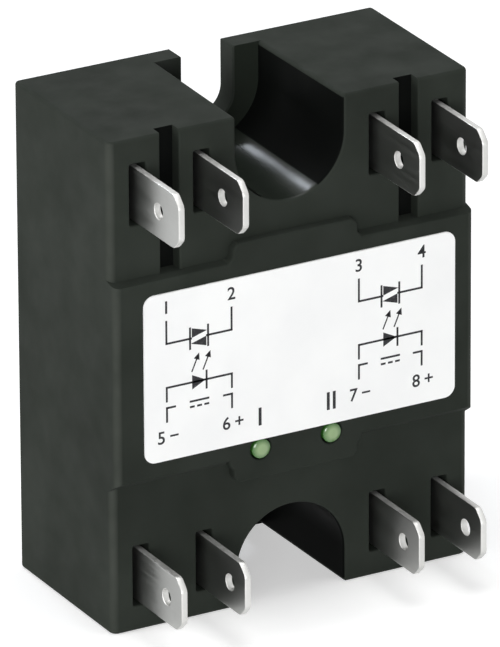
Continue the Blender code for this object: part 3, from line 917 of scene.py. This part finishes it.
    def panel(self) -> BMesh:
        """Make the raised panel with its tongue, which reaches past its sloping upper and lower edge.

        Returns:
            The shape to join on.
        """
        bm = bmesh.new()
        narrow, top, bottom = self.tongue_half_width, self.panel_top, self.panel_bottom
        tongue = (bottom - self.tongue_reach, top + self.tongue_reach)
        corners = stepped_outline(self.half_width, narrow, (bottom, top), tongue)
        verts = flat_outline(bm, corners, LEVELS.front + self.panel_root)
        round_corners(bm, [verts[index] for index in MIDDLE_ENDS], self.tongue_corner, self.round_steps)
        roots = [vert for vert in verts if vert.is_valid and abs(abs(vert.co.x) - narrow) < MERGE]
        face = round_corners(bm, roots, self.tongue_root, RIM_STEPS)
        thicken(bm, [face], Vector((0, LEVELS.panel_front - LEVELS.front - self.panel_root, 0)))
        for vert in bm.verts:
            rise = vert.co.y - LEVELS.front
            if abs(vert.co.z - top) < MERGE:
                vert.co.z += self.top_slope * rise
            elif abs(vert.co.z - bottom) < MERGE:
                vert.co.z -= self.bottom_slope * rise
        outer = [edge for edge in bm.edges if self.at_panel_front(edge) and self.at_side(edge)]
        soften(bm, outer, self.upright_radius, self.round_steps)
        rest = [
            edge for edge in bm.edges
            if self.at_panel_front(edge) and abs(edge.calc_face_angle(0.0)) > self.panel_fold
        ]
        soften(bm, rest, self.panel_edge, self.panel_edge_steps)
        return bm

    @staticmethod
    def at_panel_front(edge: BMEdge) -> bool:
        """Tell whether an edge lies in the panel's front plane."""
        return all(abs(vert.co.y - LEVELS.panel_front) < MERGE for vert in edge.verts)

    def at_side(self, edge: BMEdge) -> bool:
        """Tell whether an edge lies in the left or right side."""
        return all(abs(vert.co.x) > self.half_width - MERGE for vert in edge.verts)

    def hollow(self, floor: float, wall: float, notch_wall: float, corner: float) -> BMesh:
        """Make a recess that opens at the back and goes round both notches.

        Args:
            floor: depth that it reaches.
            wall: thickness left at the sides.
            notch_wall: thickness left round the notches.
            corner: radius of its corners.

        Returns:
            The shape to cut out.
        """
        bm = bmesh.new()
        half_x, half_z = self.half_width - wall, self.half_height - wall
        notch = self.notch_seat_radius + notch_wall
        inner = self.notch_centre - notch
        corners = stepped_outline(half_x, notch, (-half_z, half_z), (-inner, inner))
        verts = flat_outline(bm, corners, floor)
        round_corners(bm, [verts[index] for index in MIDDLE_ENDS], notch, self.notch_quarter_steps)
        outer = [vert for vert in verts if vert.is_valid and abs(abs(vert.co.x) - half_x) < MERGE]
        round_corners(bm, outer, corner, RIM_STEPS)
        bmesh.ops.remove_doubles(bm, verts=bm.verts, dist=MERGE)
        return thicken(bm, list(bm.faces), Vector((0, LEVELS.rim_back + OVERSHOOT - floor, 0)))

    def mouth(self, bm: BMesh, end: int, shape: RoundEnd, ring: Ring) -> BMFace:
        """Add the outline of a round-ended opening, which flares at the end of the housing.

        Args:
            bm: mesh to add to.
            end: sign of the housing's end along Z.
            shape: the opening.
            ring: depth and growth of this outline.

        Returns:
            The outline.
        """
        half = shape.radius + ring.grow
        wide = half + shape.rim + self.brim_margin
        floor = end * (shape.centre - half)
        brim = end * (self.half_height + 2 * MERGE)
        outside = end * (self.half_height + OVERSHOOT)
        corners = [
            (-half, floor), (half, floor), (half, brim), (wide, brim),
            (wide, outside), (-wide, outside), (-wide, brim), (-half, brim),
        ]
        verts = flat_outline(bm, corners, ring.depth)
        round_end, brims = verts[:2], [verts[2], verts[7]]
        round_corners(bm, round_end, half, self.notch_quarter_steps)
        face = round_corners(bm, brims, shape.rim, RIM_STEPS)
        loop = list(face.verts)
        bmesh.ops.remove_doubles(bm, verts=loop, dist=MERGE)
        return next(vert for vert in loop if vert.is_valid).link_faces[0]

    def notch(self, end: int) -> BMesh:
        """Make the notch for a screw head, wider at the front by the mould's draft.

        Args:
            end: sign of the housing's end along Z.

        Returns:
            The shape to cut out.
        """
        bm = bmesh.new()
        rim = self.notch_rim
        front = RoundEnd(self.notch_centre, self.notch_front_radius, rim)
        seat = RoundEnd(self.notch_centre, self.notch_seat_radius, rim)
        rings = [Ring(LEVELS.panel_front - OVERSHOOT, rim), *rounded_rim(LEVELS.front, 1, rim)]
        faces = [self.mouth(bm, end, front, ring) for ring in rings]
        faces.append(self.mouth(bm, end, seat, Ring(LEVELS.seat, 0.0)))
        return stack(bm, faces)

    def screw_slot(self, end: int) -> BMesh:
        """Make the open slot through a rear flange.

        Args:
            end: sign of the housing's end along Z.

        Returns:
            The shape to cut out.
        """
        bm = bmesh.new()
        rim = self.rim_radius
        slot = RoundEnd(self.screw_centre, self.screw_radius, rim)
        rings = [Ring(LEVELS.seat - OVERSHOOT, rim), *rounded_rim(LEVELS.seat, 1, rim)]
        rings += reversed(rounded_rim(LEVELS.rim_back, -1, rim))
        rings.append(Ring(LEVELS.rim_back + OVERSHOOT, rim))
        return stack(bm, [self.mouth(bm, end, slot, ring) for ring in rings])

    def front_rings(self, plane: float, floor: float) -> list[Ring]:
        """Return the rings of an opening in a plane of the front wall that reaches a floor."""
        start = Ring(LEVELS.panel_front - OVERSHOOT, self.rim_radius)
        return [start, *rounded_rim(plane, 1, self.rim_radius), Ring(floor, 0.0)]

    def tab_slot(self, x: float, z: float) -> BMesh:
        """Make the slot that a tab passes through.

        Args:
            x: the tab's x.
            z: the tab's z.

        Returns:
            The shape to cut out.
        """
        bm = bmesh.new()
        half_x, half_z = self.slot_half
        faces = []
        for ring in self.front_rings(LEVELS.front, LEVELS.cavity_front + OVERSHOOT):
            low = (x - half_x - ring.grow, z - half_z - ring.grow)
            high = (x + half_x + ring.grow, z + half_z + ring.grow)
            corners = flat_rectangle(bm, low, high, ring.depth)
            faces.append(round_corners(bm, corners, self.slot_corner + ring.grow, RIM_STEPS))
        return stack(bm, faces)

    def groove(self, side: int) -> BMesh:
        """Make the groove that parts two output tabs, from the panel to the end of the housing.

        Args:
            side: sign of its x.

        Returns:
            The shape to cut out.
        """
        bm = bmesh.new()
        faces = []
        for ring in self.front_rings(LEVELS.front, LEVELS.front + self.groove_depth):
            half = self.groove_half_width + ring.grow
            low = (side * self.groove_x - half, self.panel_top - self.groove_overlap)
            high = (side * self.groove_x + half, self.half_height + OVERSHOOT)
            faces.append(flat_rectangle(bm, low, high, ring.depth)[0].link_faces[0])
        return stack(bm, faces)

    def light_hole(self, side: int) -> BMesh:
        """Make the hole of an indicator.

        Args:
            side: sign of its x.

        Returns:
            The shape to cut out.
        """
        bm = bmesh.new()
        x, z = LIGHT_PLACE
        faces = []
        for ring in self.front_rings(LEVELS.panel_front, LEVELS.cavity_front + OVERSHOOT):
            place = Matrix.Translation((side * x, ring.depth, z)) @ UPRIGHT
            faces.append(flat_circle(bm, place, self.light_hole_radius + ring.grow, ROUND_STEPS))
        return stack(bm, faces)


@dataclass
class Terminals:
    """Push-on tabs of both rows, with what carries them inside the housing."""

    inner_x: float = 10.95 * MM
    outer_x: float = 18.85 * MM
    height: float = 22.55 * MM
    half_width: float = 3.15 * MM
    thickness: float = 0.8 * MM
    tip_chamfer: float = 1.2 * MM
    tip_corner: float = 0.35 * MM
    coined_edge: float = 0.15 * MM
    coined_steps: int = 2
    hole_radius: float = 0.95 * MM
    hole_rim: float = 0.06 * MM
    hole_steps: int = 40
    output_hole: float = 4.5 * MM
    input_hole: float = 3.4 * MM
    web_front: float = -18.35 * MM
    web_back: float = -11.8 * MM
    riser: Pair = (9.4 * MM, 14.4 * MM)
    foot_length: float = 2.2 * MM
    foot_level: float = -4.53 * MM
    bend_radius: float = 0.5 * MM
    bend_steps: int = 8
    board_front: float = -15.1 * MM
    pin_end: float = -12.2 * MM
    pin_half_width: float = 0.6 * MM
    pin_half_spacing: float = 1.75 * MM
    side_facing: float = 0.8

    def tabs(self) -> list[tuple[float, Row]]:
        """Return x and row of all tabs, from the left."""
        columns = (-self.outer_x, -self.inner_x, self.inner_x, self.outer_x)
        return [(x, row) for row in Row for x in columns]

    def places(self) -> list[Pair]:
        """Return x and z of all tabs."""
        return [(x, row.value * self.height) for x, row in self.tabs()]

    def build(self, plating: Material, stamped: Material) -> None:
        """Add every terminal as a piece.

        Args:
            plating: finish of its rolled sides.
            stamped: finish of its cut edges.
        """
        for number, (x, row) in enumerate(self.tabs(), start=1):
            shape = self.output_strip(x) if row is Row.OUTPUT else self.input_strip()
            bmesh.ops.translate(shape, verts=shape.verts, vec=(x, 0, 0))
            carver = Carver(shape)
            carver.apply(self.catch_hole(x, row), Carve.CUT)
            strip = carver.result()
            for face in strip.faces:
                face.material_index = int(abs(face.normal.x) < self.side_facing)
            node = f"{row.name.lower()}_terminal_{number}"
            add_piece(f"tab_{number}", strip, [plating, stamped], [node])

    def tip(self, middle: float) -> list[Pair]:
        """Work out the four corners of a tab's tip.

        Args:
            middle: height of the tab's middle.

        Returns:
            Depth and height of each corner, from its upper to its lower edge.
        """
        high, low = middle + self.half_width, middle - self.half_width
        shoulder = LEVELS.tab_tip + self.tip_chamfer
        return [
            (shoulder, high), (LEVELS.tab_tip, high - self.tip_chamfer),
            (LEVELS.tab_tip, low + self.tip_chamfer), (shoulder, low),
        ]

    def strip(self, corners: list[Pair]) -> BMesh:
        """Make a strip with its tip rounded and its tab edges coined.

        Args:
            corners: depth and height of its outline, with the four of its tip first.

        Returns:
            The strip, in the middle of the relay.
        """
        bm = bmesh.new()
        verts = [bm.verts.new((-self.thickness / 2, y, z)) for y, z in corners]
        bm.faces.new(verts)
        face = round_corners(bm, verts[:4], self.tip_corner, RIM_STEPS)
        thicken(bm, [face], Vector((self.thickness, 0, 0)))
        edges = [
            edge for edge in bm.edges
            if abs(edge.verts[0].co.x - edge.verts[1].co.x) < MERGE
            and min(vert.co.y for vert in edge.verts) < LEVELS.front
        ]
        soften(bm, edges, self.coined_edge, self.coined_steps)
        return bm

    def output_strip(self, x: float) -> BMesh:
        """Make an output terminal: tab, web, riser, and a foot bent towards the middle of the relay.

        Args:
            x: where the terminal will stand.

        Returns:
            The terminal, in the middle of the relay.
        """
        turn = 1 if x < 0 else -1
        bend = self.foot_level - self.thickness - self.bend_radius
        low_riser, high_riser = self.riser
        corners = self.tip(self.height) + [
            (self.web_front, self.height - self.half_width), (self.web_front, low_riser), (bend, low_riser),
            (bend, high_riser), (self.web_back, high_riser), (self.web_back, self.height + self.half_width),
        ]
        bm = self.strip(corners)
        end = max(bm.faces, key=lambda face: face.calc_center_median().y)
        swept = bmesh.ops.spin(
            bm, geom=[end, *end.edges, *end.verts], axis=(0, 0, -turn), angle=QUARTER_TURN,
            cent=(turn * (self.thickness / 2 + self.bend_radius), bend, 0), steps=self.bend_steps,
        )
        grown = bmesh.ops.extrude_face_region(bm, geom=swept["geom_last"])
        moved = [item for item in grown["geom"] if isinstance(item, BMVert)]
        bmesh.ops.translate(bm, verts=moved, vec=(turn * self.foot_length, 0, 0))
        return bm

    def input_strip(self) -> BMesh:
        """Make an input terminal: tab with two pins that pass through the board.

        Returns:
            The terminal, in the middle of the relay.
        """
        middle, board, pin_end = -self.height, self.board_front, self.pin_end
        corners = self.tip(middle) + [(board, middle - self.half_width)]
        for pin in (middle - self.pin_half_spacing, middle + self.pin_half_spacing):
            low, high = pin - self.pin_half_width, pin + self.pin_half_width
            corners += [(board, low), (pin_end, low), (pin_end, high), (board, high)]
        corners.append((board, middle + self.half_width))
        return self.strip(corners)

    def catch_hole(self, x: float, row: Row) -> BMesh:
        """Make the hole that a connector's catch drops into, with its rims broken.

        Args:
            x: the tab's x.
            row: the tab's row.

        Returns:
            The shape to cut out.
        """
        bm = bmesh.new()
        y = LEVELS.tab_tip + (self.output_hole if row is Row.OUTPUT else self.input_hole)
        half, rim = self.thickness / 2, self.hole_rim
        rings = [Ring(-half - OVERSHOOT, rim), Ring(-half, rim), Ring(-half + rim, 0.0)]
        rings += [Ring(-ring.depth, ring.grow) for ring in reversed(rings)]
        sideways = Matrix.Rotation(QUARTER_TURN, 4, "Y")
        faces = []
        for ring in rings:
            place = Matrix.Translation((x + ring.depth, y, row.value * self.height)) @ sideways
            faces.append(flat_circle(bm, place, self.hole_radius + ring.grow, self.hole_steps))
        return stack(bm, faces)


@dataclass
class LightGuides:
    """Two green guides whose domed ends stand out of the panel."""

    dome: float = 0.35 * MM
    dome_steps: int = 8
    collar_radius: float = 2.0 * MM
    collar: Pair = (-19.55 * MM, -18.75 * MM)
    back: float = -16.0 * MM

    def build(self, finish: Material) -> None:
        """Add both guides as pieces.

        Args:
            finish: their finish.
        """
        for pole, side in (("a", -1), ("b", 1)):
            bm = self.turned()
            bmesh.ops.translate(bm, verts=bm.verts, vec=(side * LIGHT_PLACE[0], 0, LIGHT_PLACE[1]))
            add_piece(f"indicator_lens_{pole}", bm, [finish], [f"light_guide_{pole}"])

    def turned(self) -> BMesh:
        """Turn a guide about the Y axis.

        Returns:
            The guide.
        """
        bm = bmesh.new()
        collar_front, collar_back = self.collar
        profile = [
            (0.0, self.back), (LENS_RADIUS, self.back), (LENS_RADIUS, collar_back),
            (self.collar_radius, collar_back), (self.collar_radius, collar_front),
            (LENS_RADIUS, collar_front),
        ]
        for step in range(self.dome_steps + 1):
            turn = QUARTER_TURN * step / self.dome_steps
            profile.append((LENS_RADIUS * math.cos(turn), LEVELS.panel_front - self.dome * math.sin(turn)))
        verts = [bm.verts.new((radius, y, 0)) for radius, y in profile]
        edges = [bm.edges.new(pair) for pair in zip(verts, verts[1:])]
        bmesh.ops.spin(
            bm, geom=verts + edges, cent=(0, 0, 0), axis=(0, 1, 0), angle=math.tau, steps=ROUND_STEPS,
            use_merge=True,
        )
        bmesh.ops.remove_doubles(bm, verts=bm.verts, dist=MERGE)
        return bm


@dataclass
class Print:
    """Print on a film, gathered as thin solids that stand half out of it."""

    front: float
    height: float = 0.012 * MM
    boldness: float = 0.012
    letter_steps: int = 4
    shape: BMesh = field(default_factory=bmesh.new)

    def write(self, text: str, middle: Pair, size: float) -> None:
        """Add a word, centred on a place.

        Args:
            text: the word.
            middle: x and z of the place.
            size: height of its letters.
        """
        curve = bpy.data.curves.new("print", "FONT")
        curve.body = text
        curve.size = size
        curve.align_x = "CENTER"
        curve.align_y = "CENTER"
        curve.resolution_u = self.letter_steps
        curve.offset = self.boldness * size
        curve.extrude = self.height
        holder = link_object("print", curve)
        graph = bpy.context.evaluated_depsgraph_get()
        mesh = bpy.data.meshes.new_from_object(holder.evaluated_get(graph))
        mesh.transform(Matrix.Translation((middle[0], self.front, middle[1])) @ UPRIGHT)
        self.shape.from_mesh(mesh)
        bpy.data.objects.remove(holder, do_unlink=True)
        bpy.data.curves.remove(curve)
        bpy.data.meshes.remove(mesh)

    def stroke(self, start: Pair, end: Pair, width: float) -> None:
        """Add a straight line.

        Args:
            start: x and z of its start.
            end: x and z of its end.
            width: its width.
        """
        way = Vector((end[0] - start[0], end[1] - start[1]))
        middle = ((start[0] + end[0]) / 2, self.front, (start[1] + end[1]) / 2)
        size = Matrix.Diagonal((way.length + width, 2 * self.height, width, 1.0))
        turn = Matrix.Rotation(-math.atan2(way.y, way.x), 4, "Y")
        bmesh.ops.create_cube(self.shape, size=1.0, matrix=Matrix.Translation(middle) @ turn @ size)

    def path(self, points: list[Pair], width: float) -> None:
        """Add a line of a width through several points."""
        for start, end in zip(points, points[1:]):
            self.stroke(start, end, width)

    def arrow_head(self, tip: Pair, way: Pair, size: float, breadth: float = 0.5) -> None:
        """Add a solid triangle.

        Args:
            tip: x and z of its tip.
            way: where its tip points.
            size: its length.
            breadth: half its breadth, as a share of its length.
        """
        along = Vector((way[0], 0, way[1])).normalized() * size
        across = Vector((-along.z, 0, along.x)) * breadth
        top = Vector((tip[0], self.front + self.height, tip[1]))
        verts = [self.shape.verts.new(point) for point in (top, top - along + across, top - along - across)]
        thicken(self.shape, [self.shape.faces.new(verts)], Vector((0, -2 * self.height, 0)))


@dataclass
class PoleDiagram:
    """Line diagram of one pole: a pair of valves above, and below it the light that switches them."""

    ink: Print
    left: float
    right: float
    line: float = 0.24 * MM
    valve_level: float = 5.0 * MM
    valve_lead: float = 7.6 * MM
    valve: float = 1.0 * MM
    valve_shift: float = 0.62 * MM
    valve_length: float = 1.9 * MM
    valve_breadth: float = 0.3
    post: float = 1.2 * MM
    light_level: float = -0.2 * MM
    light_lead: float = -1.8 * MM
    light_tip: float = 0.8 * MM
    light_length: float = 1.7 * MM
    bar_x: float = 0.9 * MM
    bar: float = 1.0 * MM
    ray_starts: Pair = (-0.9 * MM, 0.5 * MM)
    ray_gap: float = 1.3 * MM
    ray: Pair = (0.7 * MM, 1.6 * MM)
    ray_line: float = 0.7
    ray_head: float = 0.8 * MM
    ray_tip: Pair = (0.2 * MM, 0.45 * MM)
    supply_level: float = -2.6 * MM
    supply_lead: float = -4.2 * MM
    supply_stub: float = 1.0 * MM
    direct_level: float = -2.45 * MM
    direct_half: float = 1.1 * MM
    dash_level: float = -3.1 * MM
    dash_half: float = 0.18 * MM
    dashes: Place = (-0.9 * MM, 0.0, 0.9 * MM)

    @property
    def middle(self) -> float:
        """Return the x of its middle."""
        return (self.left + self.right) / 2

    def draw(self) -> None:
        """Draw the whole diagram."""
        self.draw_valves()
        self.draw_light()
        self.draw_rays()
        self.draw_supply()

    def draw_valves(self) -> None:
        """Draw the two valves and the leads of the output."""
        left, middle, right = self.left, self.middle, self.right
        level, lead = self.valve_level, self.valve_lead
        self.ink.path([(left, lead), (left, level), (middle - self.valve, level)], self.line)
        self.ink.path([(middle + self.valve, level), (right, level), (right, lead)], self.line)
        for side in (-1, 1):
            tip = (middle + side * self.valve, level + side * self.valve_shift)
            self.ink.arrow_head(tip, (side, 0), self.valve_length, self.valve_breadth)
            post = middle + side * (self.valve + self.line / 2)
            self.ink.stroke((post, level - self.post), (post, level + self.post), self.line)

    def draw_light(self) -> None:
        """Draw the light and its leads."""
        left, middle, right = self.left, self.middle, self.right
        level, lead = self.light_level, self.light_lead
        self.ink.path([(left, lead), (left, level), (right, level), (right, lead)], self.line)
        self.ink.arrow_head((middle + self.light_tip, level), (1, 0), self.light_length)
        bar = middle + self.bar_x
        self.ink.stroke((bar, level - self.bar), (bar, level + self.bar), self.line)

    def draw_rays(self) -> None:
        """Draw the rays from the light to the valves."""
        for start in self.ray_starts:
            foot = (self.middle + start, self.light_level + self.ray_gap)
            top = (foot[0] + self.ray[0], foot[1] + self.ray[1])
            tip = (top[0] + self.ray_tip[0], top[1] + self.ray_tip[1])
            self.ink.stroke(foot, top, self.ray_line * self.line)
            self.ink.arrow_head(tip, self.ray, self.ray_head)

    def draw_supply(self) -> None:
        """Draw the leads of the input, and the sign of direct current between them."""
        middle, level = self.middle, self.supply_level
        for x, stub in ((self.left, self.supply_stub), (self.right, -self.supply_stub)):
            self.ink.path([(x, self.supply_lead), (x, level), (x + stub, level)], self.line)
        ends = (middle - self.direct_half, middle + self.direct_half)
        self.ink.stroke((ends[0], self.direct_level), (ends[1], self.direct_level), self.line)
        for dash in self.dashes:
            ends = (middle + dash - self.dash_half, middle + dash + self.dash_half)
            self.ink.stroke((ends[0], self.dash_level), (ends[1], self.dash_level), self.line)


@dataclass
class Label:
    """White sticker with terminal numbers and a line diagram of what each pole does."""

    centre: Pair = (0.45 * MM, 1.05 * MM)
    half_size: Pair = (19.5 * MM, 9.9 * MM)
    corner: float = 1.3 * MM
    corner_steps: int = 10
    back: float = -23.15 * MM
    thickness: float = 0.2 * MM
    edge: float = 0.04 * MM
    edge_steps: int = 2
    number_size: float = 2.1 * MM
    number_x: tuple[float, float, float, float] = (-16.3 * MM, -8.2 * MM, 7.75 * MM, 15.7 * MM)
    top_row: float = 9.2 * MM
    bottom_row: float = -6.1 * MM
    number_shift: float = -0.7 * MM
    sign_shift: float = 0.9 * MM
    pole_size: float = 3.0 * MM
    poles: tuple[tuple[str, Pair], ...] = (
        ("I", (-4.7 * MM, -6.2 * MM)),
        ("II", (4.25 * MM, -6.2 * MM)),
    )

    def build(self, film: Material, ink: Material) -> None:
        """Add the film and its print as pieces.

        Args:
            film: finish of the film.
            ink: finish of the print.
        """
        bm = bmesh.new()
        low = (self.centre[0] - self.half_size[0], self.centre[1] - self.half_size[1])
        high = (self.centre[0] + self.half_size[0], self.centre[1] + self.half_size[1])
        face = round_corners(bm, flat_rectangle(bm, low, high, self.back), self.corner, self.corner_steps)
        thicken(bm, [face], Vector((0, -self.thickness, 0)))
        front = self.back - self.thickness
        edges = [edge for edge in bm.edges if all(vert.co.y < front + MERGE for vert in edge.verts)]
        soften(bm, edges, self.edge, self.edge_steps)
        add_piece("label_sheet", bm, [film], ["label"])
        add_piece("label_print", self.lettering(front), [ink])

    def lettering(self, front: float) -> BMesh:
        """Make all print.

        Args:
            front: depth of the film's front.

        Returns:
            The print as thin solids.
        """
        ink = Print(front)
        for number, x in enumerate(self.number_x, start=1):
            below = str(number + len(self.number_x))
            sign = "+" if number % 2 == 0 else "−"
            ink.write(str(number), (x, self.top_row), self.number_size)
            ink.write(below, (x + self.number_shift, self.bottom_row), self.number_size)
            ink.write(sign, (x + self.sign_shift, self.bottom_row), self.number_size)
        for pole, place in self.poles:
            ink.write(pole, place, self.pole_size)
        for left, right in (self.number_x[:2], self.number_x[2:]):
            PoleDiagram(ink, left, right).draw()
        return ink.shape


@dataclass
class InnerPieces:
    """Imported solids, most of them inside the housing, which keep their shape and get a finish."""

    nodes: dict[str, Object]
    subparts: list[dict[str, str]]

    def dress(self, finishes: dict[Slot, Material]) -> None:
        """Give every solid the finish of its slot.

        Args:
            finishes: material of each slot.
        """
        for part in self.subparts:
            slot = Slot(part["material_slot"])
            mesh: Mesh = self.nodes[part["node"]].data
            mesh.materials.clear()
            mesh.materials.append(finishes[slot])
            log.info("%s: dressed as %s", part["node"], slot.value)


def seen_directly(graph: NodeGraph) -> NodeSocket:
    """Tell rays that show a surface itself, straight or in gloss or glass, from all others.

    Args:
        graph: node tree to add to.

    Returns:
        1 for those rays, or else 0.
    """
    path = graph.node("ShaderNodeLightPath", {}).outputs
    straight = graph.work_out(Sum.LARGER, path["Is Camera Ray"], path["Is Glossy Ray"])
    return graph.work_out(Sum.LARGER, straight, path["Is Transmission Ray"])


@dataclass(frozen=True)
class Lamp:
    """Soft square lamp that looks at the relay."""

    name: str
    place: Place
    size: float
    power: float
    colour: Colour = WHITE

    def build(self) -> None:
        """Add the lamp to the scene."""
        light = bpy.data.lights.new(self.name, "AREA")
        light.size = self.size
        light.energy = self.power
        light.color = self.colour
        lamp = link_object(self.name, light)
        lamp.location = self.place
        lamp.rotation_euler = (-Vector(self.place)).to_track_quat("-Z", "Y").to_euler()


@dataclass
class Studio:
    """White floor, soft light and the camera of the photograph."""

    floor_level: float = -29.1 * MM
    floor_size: float = 6.0
    floor_white: float = 0.85
    floor_glow: float = 0.43
    world_light: float = 0.1
    lamps: tuple[Lamp, ...] = (
        Lamp("left_light", (-1.0, 0.1, 0.36), size=0.6, power=6.2),
        Lamp("front_light", (-0.5, -1.0, 0.15), size=0.5, power=10.3),
        Lamp("top_light", (0.06, -0.03, 1.0), size=0.5, power=4.6),
        Lamp("back_strip", (0.032, 0.636, 0.488), size=0.08, power=0.95, colour=(0.86, 0.92, 1.0)),
    )
    target: Place = (2.68 * MM, -7.85 * MM, -2.27 * MM)
    azimuth: float = math.radians(-28.98)
    elevation: float = math.radians(22.96)
    roll: float = math.radians(-0.29)
    distance: float = 1.2061
    lens: float = 605.63
    farthest: float = 20.0

    def build(self) -> None:
        """Set the stage, the lamps and the camera."""
        self.floor()
        self.world()
        for lamp in self.lamps:
            lamp.build()
        self.camera()
        bpy.context.scene.view_settings.view_transform = "Standard"

    def floor(self) -> None:
        """Add a white floor that keeps the shadow and stays white beyond it."""
        bm = bmesh.new()
        place = Matrix.Translation((0, 0, self.floor_level))
        bmesh.ops.create_grid(bm, x_segments=1, y_segments=1, size=self.floor_size / 2, matrix=place)
        mesh = mesh_from("floor", bm)
        mesh.materials.append(self.floor_material())
        ground = link_object("floor", mesh)

    def floor_material(self) -> Material:
        """Make the floor's material, which glows a little where it is seen.

        Returns:
            The material.
        """
        material = bpy.data.materials.new("floor_white")
        material.use_nodes = True
        material.node_tree.nodes.clear()
        graph = NodeGraph(material.node_tree)
        white = (self.floor_white, self.floor_white, self.floor_white, 1.0)
        plain = graph.node("ShaderNodeBsdfDiffuse", {"Color": white})
        strength = graph.work_out(Sum.PRODUCT, seen_directly(graph), self.floor_glow)
        glow = graph.node("ShaderNodeEmission", {"Strength": strength})
        total = graph.node("ShaderNodeAddShader", {0: plain.outputs[0], 1: glow.outputs[0]})
        graph.node("ShaderNodeOutputMaterial", {"Surface": total.outputs[0]})
        return material

    def world(self) -> None:
        """Light the scene from all round, and show white where nothing stands."""
        world = bpy.data.worlds.new("studio")
        bpy.context.scene.world = world
        world.use_nodes = True
        graph = NodeGraph(world.node_tree)
        sky = graph.tree.nodes["Background"]
        sky.inputs["Color"].default_value = (*WHITE, 1.0)
        level = graph.spread(seen_directly(graph), (0.0, 1.0), self.world_light, 1.0)
        graph.tree.links.new(level, sky.inputs["Strength"])

    def camera(self) -> None:
        """Add the camera at the photograph's angle."""
        data = bpy.data.cameras.new("camera")
        data.lens = self.lens
        data.clip_end = self.farthest
        camera = link_object("camera", data)
        flat, rise = math.cos(self.elevation), math.sin(self.elevation)
        back = Vector((math.sin(self.azimuth) * flat, -math.cos(self.azimuth) * flat, rise))
        right = (-back).cross(Vector((0, 0, 1))).normalized()
        up = right.cross(-back)
        turned_right = math.cos(self.roll) * right + math.sin(self.roll) * up
        turned_up = -math.sin(self.roll) * right + math.cos(self.roll) * up
        turn = Matrix((turned_right, turned_up, back)).transposed().to_4x4()
        camera.matrix_world = Matrix.Translation(Vector(self.target) + back * self.distance) @ turn
        bpy.context.scene.camera = camera


def housing_finishes(outside: Material) -> dict[HousingFinish, Material]:
    """Make the housing's other materials: polished floor of the upper notch, and hollows darkened with
    painted shade.

    Args:
        outside: material of its outer faces.

    Returns:
        The material of each finish.
    """
    polished = BlackMoulding("polished_moulding", smooth=0.24, rough=0.27, relief=0.004, specular=0.14)
    # Its darker colours are painted shade for the notch walls and groove floors.
    painted_shade = BlackMoulding(
        "painted_shade_moulding", smooth=0.30, rough=0.40, relief=0.05, specular=0.008,
        deep=(0.0036, 0.0041, 0.0038), pale=(0.0052, 0.0058, 0.0054),
    )
    return {
        HousingFinish.OUTSIDE: outside,
        HousingFinish.POLISHED: polished.material(),
        HousingFinish.SHADED: painted_shade.material(),
    }


def stamped_edge() -> RolledMetal:
    """Choose the finish of a strip's cut edges, rougher than its sides.

    Returns:
        The finish.
    """
    return RolledMetal(
        "stamped_edge", bright=(0.62, 0.62, 0.605), dull=(0.55, 0.55, 0.535), smooth=0.42, rough=0.58,
        lines=Grain(2600.0, 4.0),
    )


def make_finishes() -> dict[Slot, Material]:
    """Make the material of every slot.

    Returns:
        Materials by slot.
    """
    finishes: dict[Slot, Finish] = {
        Slot.MOULDING: BlackMoulding("black_moulding", smooth=0.72, rough=0.88, relief=0.25, specular=0.17),
        Slot.NICKEL: RolledMetal(
            "nickel_plating", bright=(0.66, 0.65, 0.62), dull=(0.63, 0.62, 0.59), smooth=0.26, rough=0.38,
            lines=Grain(1800.0, 4.0, stretch=(1.0, 1.0, 0.02)),
        ),
        Slot.TIN: RolledMetal(
            "tinned_brass", bright=(0.42, 0.425, 0.413), dull=(0.375, 0.377, 0.366), smooth=0.28, rough=0.36,
            lines=Grain(2600.0, 4.0, stretch=(1.0, 0.04, 1.0)),
        ),
        Slot.FILM: LabelFilm(),
        Slot.LENS: GreenLens(),
    }
    inner = (
        InnerFinish(Slot.EMITTER, (0.8, 0.82, 0.7), (0.72, 0.75, 0.6), scale=900.0, roughness=0.4),
        InnerFinish(Slot.CERAMIC, (0.85, 0.85, 0.82), (0.8, 0.8, 0.77), scale=2600.0, roughness=0.5),
        InnerFinish(
            Slot.COPPER, (0.72, 0.36, 0.2), (0.62, 0.28, 0.15), scale=420.0, roughness=0.35, metallic=1.0
        ),
        InnerFinish(
            Slot.SILICON, (0.2, 0.21, 0.24), (0.17, 0.18, 0.22), scale=300.0, roughness=0.2, metallic=0.6
        ),
        InnerFinish(Slot.BOARD, (0.03, 0.2, 0.08), (0.025, 0.16, 0.06), scale=1500.0, roughness=0.4),
        InnerFinish(Slot.CASE, (0.05, 0.05, 0.05), (0.035, 0.035, 0.036), scale=2000.0, roughness=0.5),
        InnerFinish(Slot.RESISTOR, (0.08, 0.08, 0.1), (0.06, 0.06, 0.07), scale=1600.0, roughness=0.4),
        InnerFinish(Slot.FILL, (0.12, 0.12, 0.13), (0.1, 0.1, 0.105), scale=350.0, roughness=0.3),
    )
    finishes.update({finish.slot: finish for finish in inner})
    return {slot: finish.material() for slot, finish in finishes.items()}


def main() -> None:
    """Build every piece, logging its faces, then the stage."""
    logging.basicConfig(level=logging.INFO, format="%(message)s")
    finishes = make_finishes()
    InnerPieces(frame["nodes"], frame["record"]["subparts"]).dress(finishes)
    terminals = Terminals()
    Housing().build(housing_finishes(finishes[Slot.MOULDING]), terminals.places())
    terminals.build(finishes[Slot.TIN], stamped_edge().material())
    LightGuides().build(finishes[Slot.LENS])
    Label().build(finishes[Slot.FILM], Ink().material())
    Studio().build()


if __name__ == "__main__":
    main()
